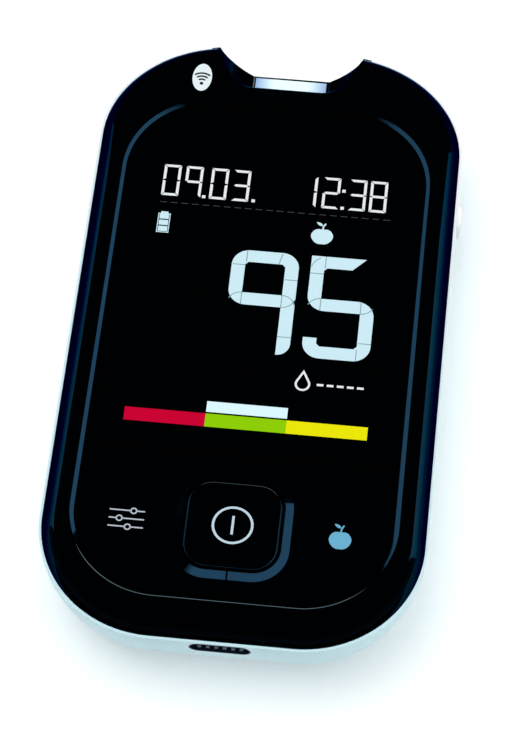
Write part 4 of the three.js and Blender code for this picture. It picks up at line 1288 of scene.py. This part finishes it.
def fruit(centre_x, centre_y, width, height):
    half = height * FRUIT_BODY_SHARE / 2
    body_y = centre_y - height / 2 + half
    body = []
    for step in range(CIRCLE_STEPS):
        turn = FULL_TURN * step / CIRCLE_STEPS
        dent = 1
        for quarter, depth, spread in zip(FRUIT_DENT_QUARTERS, FRUIT_DENT_SHARES, FRUIT_DENT_SPREADS):
            dent *= 1 - depth * math.exp(-(((turn - quarter * QUARTER) / spread) ** 2))
        taper = 1 - FRUIT_TAPER_SHARE * max(-math.sin(turn), 0)
        body.append((
            centre_x + width / 2 * math.cos(turn) * taper, body_y + half * math.sin(turn) * dent,
        ))
    top = body_y + half * STEM_FOOT_SHARE
    stem = [(centre_x + width * x, top + height * y) for x, y in zip(STEM_X_SHARES, STEM_Y_SHARES)]
    leaf = []
    for x, y in ellipse(0, 0, 1, 1, SMALL_CIRCLE_STEPS):
        along = x * width * LEAF_LENGTH_SHARE
        across = y * abs(y) * width * LEAF_WIDTH_SHARE
        leaf.append((
            centre_x + width * LEAF_X_SHARE + along * LEAF_ALONG_SHARE + across * LEAF_SLANT_SHARE,
            top + height * LEAF_Y_SHARE - along * LEAF_SLANT_SHARE + across * LEAF_ALONG_SHARE,
        ))
    return [[body], ribbon(stem, width * STEM_WIDTH_SHARE), [leaf]]


# Display marks; a fruit is given by the X and Y of its centre, its width and its height
DASHES = dict(left=-16.3, pitch=1.55, length=1, low=19.16, high=19.24, count=22)
GAUGE_LEFT = -16.3
GAUGE_RIGHT = -14.5
GAUGE_LOW = 13.955
GAUGE_HIGH = 17.25
GAUGE_LINE = 0.125
GAUGE_CAP_INSET = 0.375
GAUGE_CAP_HEIGHT = 0.3
GAUGE_CELLS = 3
GAUGE_CELL_INSET = 0.225
GAUGE_CELL_GAP = 0.2
MEAL_MARK = (7.7, 15.955, 3.2, 3.7)
BARS = {"low": "bar_red", "good": "bar_green", "high": "bar_yellow"}
BAR_Y = -16.145
BAR_HEIGHT = 2.08
BAR_REACH = 17.06
POINTER_LOW = -14.845
POINTER_HIGH = -13.145
UNIT_DASHES = dict(left=9.3, pitch=1.42, length=0.95, low=-9.2, high=-8.85, count=5)
DROP_X = 7.3
DROP_Y = -9.1
DROP_RADIUS = 0.95
DROP_TIP_SHARE = 2.1
DROP_TURNS = (150, 390)
DROP_LINE = 0.3


def row(left, pitch, length, low, high, count):
    lefts = [left + pitch * index for index in range(count)]
    return [[box_loop(x, x + length, low, high)] for x in lefts]


def shown(name, regions, material, lift=0):
    plate(name, regions, PANEL_TOP, "root", material, "display_glass", lift)


def display_marks():
    nine, nine_gaps = large_nine()
    five, five_gaps = large_five()
    digits = [shifted(nine, NINE_X, LARGE_Y), shifted(five, FIVE_X, LARGE_Y)]
    shown("display_digits_large", digits, "segment_white")
    gaps = [*shifted(nine_gaps, NINE_X, LARGE_Y), *shifted(five_gaps, FIVE_X, LARGE_Y)]
    shown("display_digit_gaps", [ribbon(gap, GAP_LINE) for gap in gaps], "segment_gap", lift=MARK_RISE)
    shown("display_digits_small", small_digits(), "segment_pale")
    shown("display_dashes", row(**DASHES), "dash_grey")

    def gauge_part(inset, low, high):
        return box_loop(GAUGE_LEFT + inset, GAUGE_RIGHT - inset, low, high)

    gauge = [
        [gauge_part(0, GAUGE_LOW, GAUGE_HIGH),
         gauge_part(GAUGE_LINE, GAUGE_LOW + GAUGE_LINE, GAUGE_HIGH - GAUGE_LINE)],
        [gauge_part(GAUGE_CAP_INSET, GAUGE_HIGH, GAUGE_HIGH + GAUGE_CAP_HEIGHT)],
    ]
    pitch = (GAUGE_HIGH - GAUGE_LOW - GAUGE_LINE) / GAUGE_CELLS
    for index in range(GAUGE_CELLS):
        low = GAUGE_LOW + GAUGE_CELL_INSET + index * pitch
        gauge.append([gauge_part(GAUGE_CELL_INSET, low, low + pitch - GAUGE_CELL_GAP)])
    shown("display_battery_gauge", gauge, "segment_white")
    shown("display_meal_mark", fruit(*MEAL_MARK), "segment_white")

    third = BAR_REACH * 2 / len(BARS)
    bars = row(-BAR_REACH, third, third, BAR_Y - BAR_HEIGHT / 2, BAR_Y + BAR_HEIGHT / 2, len(BARS))
    for (name, material), bar in zip(BARS.items(), bars):
        shown(f"display_bar_{name}", [bar], material)
    shown("display_bar_pointer", [[box_loop(-third / 2, third / 2, POINTER_LOW, POINTER_HIGH)]], "bar_white")
    drop = swing(DROP_X, DROP_Y, DROP_RADIUS, *DROP_TURNS, SMALL_CIRCLE_STEPS)
    drop.append((DROP_X, DROP_Y + DROP_RADIUS * DROP_TIP_SHARE))
    unit = [ribbon(drop, DROP_LINE, closed=True), *row(**UNIT_DASHES)]
    shown("display_unit_mark", unit, "segment_pale")


# Prints on the keys, and the mark over the display
MEAL_PRINT = (14.8, -32.445, 3.1, 3.8)
POWER_RING_RADIUS = 2.7
POWER_STEM_REACH = 1.42
POWER_LINE = 0.34
SET_LEFT = -17.1
SET_RIGHT = -12.2
SET_LINE = 0.19
SET_LINE_YS = (-31.25, -32.495, -33.74)
SET_KNOB_SHARES = (0.68, 0.3, 0.56)
SET_KNOB_RADIUS = 0.4
SET_KNOB_GAP = 0.42
LINK_X = -12.7
LINK_Y = 41.455
LINK_HALF_WIDTH = 1.45
LINK_HALF_HEIGHT = 2.45
LINK_DOT_DROP = 1.1
LINK_LINE = 0.26
LINK_WAVE_RADII = (0.75, 1.3, 1.85)
LINK_WAVE_TURNS = (52, 128)


def cover_marks():
    plate("meal_key_print", fruit(*MEAL_PRINT), PANEL_TOP, "meal_key_body", "key_print_blue", "key_black")
    ring = ribbon(ellipse(0, KEY_Y, POWER_RING_RADIUS, POWER_RING_RADIUS), POWER_LINE, closed=True)
    stem = ribbon([(0, KEY_Y - POWER_STEM_REACH), (0, KEY_Y + POWER_STEM_REACH)], POWER_LINE)
    plate("power_key_print", [ring, stem], KEY_TOP, "power_key_body", "key_print_pale", "key_black")

    set_lines = []
    for y, share in zip(SET_LINE_YS, SET_KNOB_SHARES):
        x = SET_LEFT + (SET_RIGHT - SET_LEFT) * share
        knob = ellipse(x, y, SET_KNOB_RADIUS, SET_KNOB_RADIUS, SMALL_CIRCLE_STEPS)
        set_lines += [
            ribbon([(SET_LEFT, y), (x - SET_KNOB_GAP, y)], SET_LINE),
            ribbon([(x + SET_KNOB_GAP, y), (SET_RIGHT, y)], SET_LINE),
            ribbon(knob, SET_LINE, closed=True),
        ]
    plate("set_key_print", set_lines, PANEL_TOP, "set_key_body", "key_print_grey", "key_black")

    oval = ellipse(LINK_X, LINK_Y, LINK_HALF_WIDTH, LINK_HALF_HEIGHT)
    plate("link_mark", [[oval]], BODY_DEPTH, "root", "mark_white", "cover_gloss_black")
    dot_y = LINK_Y - LINK_DOT_DROP
    waves = [[ellipse(LINK_X, dot_y, LINK_LINE, LINK_LINE, SMALL_CIRCLE_STEPS)]]
    for radius in LINK_WAVE_RADII:
        waves.append(ribbon(swing(LINK_X, dot_y, radius, *LINK_WAVE_TURNS), LINK_LINE))
    plate("link_mark_waves", waves, BODY_DEPTH, "root", "mark_dark", "cover_gloss_black", lift=MARK_RISE)


display_marks()
cover_marks()

# Floor and sky; the sky is given by two heights, from 0 level to 1 overhead, and what is seen there
WHITE = (1, 1, 1, 1)
FLOOR_HALF = 1500
FLOOR_Z = -0.05
FLOOR_WHITE = colour(253, 253, 253)
FLOOR_GLOW = 0.15
SKY_FOR_GLOSS = [(0.1, (0.15, 0.15, 0.15, 1)), (0.28, (0.03, 0.03, 0.03, 1))]
SKY_FOR_MATTE = [(0.15, (0.06, 0.07, 0.07, 1)), (1, (1.14, 1.18, 1.2, 1))]


def ray_is(tree, first, *others):
    """A node whose Value is 1 for rays of these kinds, two or more, and 0 for the rest."""
    path = node(tree, "ShaderNodeLightPath")
    found, output = path, f"Is {first} Ray"
    for other in others:
        found = fed(tree, "ShaderNodeMath", found, output, 0, operation="MAXIMUM")
        wire(tree, path, f"Is {other} Ray", found, 1)
        output = "Value"
    return found


def staged(name, corners):
    """A flat piece of the studio, with a material that is still empty."""
    piece = mesh_object(name, [(x * MM, y * MM, z * MM) for x, y, z in corners], [range(len(corners))])
    tree, shader = new_material(name)
    tree.nodes.remove(shader)
    piece.data.materials.append(materials[name])
    return piece, tree, tree.nodes["Material Output"]


def floor():
    square = box_loop(-FLOOR_HALF, FLOOR_HALF, -FLOOR_HALF, FLOOR_HALF)
    tree, output = staged("floor", level_ring(square, FLOOR_Z))[1:]
    seen = ray_is(tree, "Camera", "Glossy", "Transmission")
    level = fed(tree, "ShaderNodeMath", seen, "Value", 0, operation="MULTIPLY")
    level.inputs[1].default_value = FLOOR_GLOW
    glow = fed(tree, "ShaderNodeEmission", level, "Value", "Strength", Color=WHITE)
    matte = node(tree, "ShaderNodeBsdfDiffuse", Color=FLOOR_WHITE)
    both = fed(tree, "ShaderNodeAddShader", matte, "BSDF", 0)
    wire(tree, glow, "Emission", both, 1)
    wire(tree, both, "Shader", output, "Surface")


def studio_world():
    """White for the camera, a dome brightest overhead for matte surfaces, and for gloss a low
    horizon under a dark ceiling."""
    world = bpy.data.worlds.new("studio")
    bpy.context.scene.world = world
    world.use_nodes = True
    tree = world.node_tree
    tree.nodes.clear()
    axes = fed(tree, "ShaderNodeSeparateXYZ", node(tree, "ShaderNodeTexCoord"), "Generated", "Vector")
    for_gloss, for_matte = [
        fed(tree, "ShaderNodeBackground", ramp(tree, axes, "Z", stops), "Color", "Color")
        for stops in (SKY_FOR_GLOSS, SKY_FOR_MATTE)
    ]
    unseen = fed(tree, "ShaderNodeMixShader", node(tree, "ShaderNodeLightPath"), "Is Glossy Ray", "Fac")
    wire(tree, for_matte, "Background", unseen, 1)
    wire(tree, for_gloss, "Background", unseen, 2)
    every = fed(tree, "ShaderNodeMixShader", ray_is(tree, "Camera", "Transmission"), "Value", "Fac")
    wire(tree, unseen, "Shader", every, 1)
    wire(tree, node(tree, "ShaderNodeBackground", Color=WHITE), "Background", every, 2)
    fed(tree, "ShaderNodeOutputWorld", every, "Shader", "Surface")


def reflector(name, corners, radiance, fade=None, tint=WHITE):
    """A card that shows only in gloss; radiance is how bright it is, where 1 is white. With fade,
    a pair of places along X, its brightness falls to nothing from the first to the second."""
    piece, tree, output = staged(name, corners)
    glow = node(tree, "ShaderNodeEmission", Strength=radiance, Color=tint)
    wire(tree, glow, "Emission", output, "Surface")
    if fade:
        where = node(tree, "ShaderNodeTexCoord")
        axes = fed(tree, "ShaderNodeSeparateXYZ", where, "Object", "Vector")
        falls = fed(tree, "ShaderNodeMapRange", axes, "X", "Value", **{
            "From Min": fade[0] * MM, "From Max": fade[1] * MM, "To Min": radiance, "To Max": 0,
        })
        wire(tree, falls, "Result", glow, "Strength")
    piece.visible_camera = False
    piece.visible_diffuse = False
    piece.visible_transmission = False
    piece.visible_shadow = False


def outward(azimuth, elevation):
    """A direction away from the meter. Azimuth turns from +Y towards +X; both are in degrees."""
    turn, rise = math.radians(azimuth), math.radians(elevation)
    return Vector((math.sin(turn) * math.cos(rise), math.cos(turn) * math.cos(rise), math.sin(rise)))


def softbox(name, azimuth, elevation, distance, width, height, radiance):
    """A panel lamp that faces the meter and stays out of its gloss. Its lengths are in metres, and
    radiance is how bright its face is, where 1 is white."""
    lamp = bpy.data.lights.new(name, "AREA")
    lamp.shape = "RECTANGLE"
    lamp.size = width
    lamp.size_y = height
    lamp.energy = radiance * math.pi * width * height
    holder = bpy.data.objects.new(name, lamp)
    bpy.context.scene.collection.objects.link(holder)
    away = outward(azimuth, elevation)
    holder.location = away * distance
    holder.rotation_mode = "QUATERNION"
    holder.rotation_quaternion = away.to_track_quat("Z", "Y")
    holder.visible_camera = False
    holder.visible_glossy = False


# Camera; its angles are in degrees and its clip distances in metres
CAMERA_PLACE = (26.706, -211.375, 377.51)
CAMERA_TURN = 7.21
CAMERA_ELEVATION = 60.49
CAMERA_ROLL = -1.319
CAMERA_LENS = 142.72
CAMERA_SENSOR = 36
CAMERA_CLIP_START = 0.01
CAMERA_CLIP_END = 20


def camera():
    turn, roll = math.radians(CAMERA_TURN), math.radians(CAMERA_ROLL)
    back = outward(180 - CAMERA_TURN, CAMERA_ELEVATION)
    level_right = Vector((math.cos(turn), math.sin(turn), 0))
    level_up = back.cross(level_right)
    right = level_right * math.cos(roll) + level_up * math.sin(roll)
    up = level_up * math.cos(roll) - level_right * math.sin(roll)
    data = bpy.data.cameras.new("camera")
    data.lens = CAMERA_LENS
    data.sensor_width = CAMERA_SENSOR
    data.sensor_fit = "AUTO"
    data.clip_start = CAMERA_CLIP_START
    data.clip_end = CAMERA_CLIP_END
    holder = bpy.data.objects.new("camera", data)
    bpy.context.scene.collection.objects.link(holder)
    facing = Matrix((right, up, back)).transposed().to_4x4()
    holder.matrix_world = Matrix.Translation(Vector(CAMERA_PLACE) * MM) @ facing
    bpy.context.scene.camera = holder


floor()
studio_world()
softbox("overhead", azimuth=-75, elevation=76, distance=0.9, width=0.6, height=0.6, radiance=2)
softbox("side_fill", azimuth=90, elevation=12, distance=0.9, width=0.8, height=0.3, radiance=1.5)

# Cards over the meter and a black one before it, by their corners
CARD_HEIGHT = 250
FLAG_HEIGHT = 2
reflector("card_left", level_ring([
    (-236, 285), (-236, 135), (-120, 30), (-52, 0), (-52, 45), (-85, 75), (-195, 215), (-200, 285),
], CARD_HEIGHT), radiance=4.6, fade=(-105, -52))
reflector("card_right", level_ring([
    (142, 225), (134, 160), (104, 98), (76, 66), (30, 30), (30, -5), (98, -30), (125, -55),
    (180, 10), (202, 90), (202, 190), (177, 190), (177, 225),
], CARD_HEIGHT), radiance=5, fade=(85, 32))
reflector("card_front", level_ring([
    (-135, -62), (-60, -80), (-20, -86), (40, -76), (96, -30), (128, -52), (60, -103), (-22, -113),
    (-85, -104), (-135, -76),
], CARD_HEIGHT - 1), radiance=5, fade=(-85, -125))
reflector("card_back", level_ring([
    (-110, 240), (20, 240), (60, 200), (95, 200), (95, 280), (60, 350), (-110, 350),
], CARD_HEIGHT), radiance=40, tint=(1, 0.38, 0.24, 1))
reflector("flag_front", level_ring(box_loop(-600, 600, -900, -54), FLAG_HEIGHT), radiance=0)

# Cards that stand beside the meter
for name, x, high, radiance in (("card_low_right", 400, 250, 2.8), ("card_low_left", -400, 220, 2.4)):
    reflector(name, [(x, y, z) for y, z in box_loop(80, 300, 15, high)], radiance)
camera()
bpy.context.scene.view_settings.view_transform = "Standard"
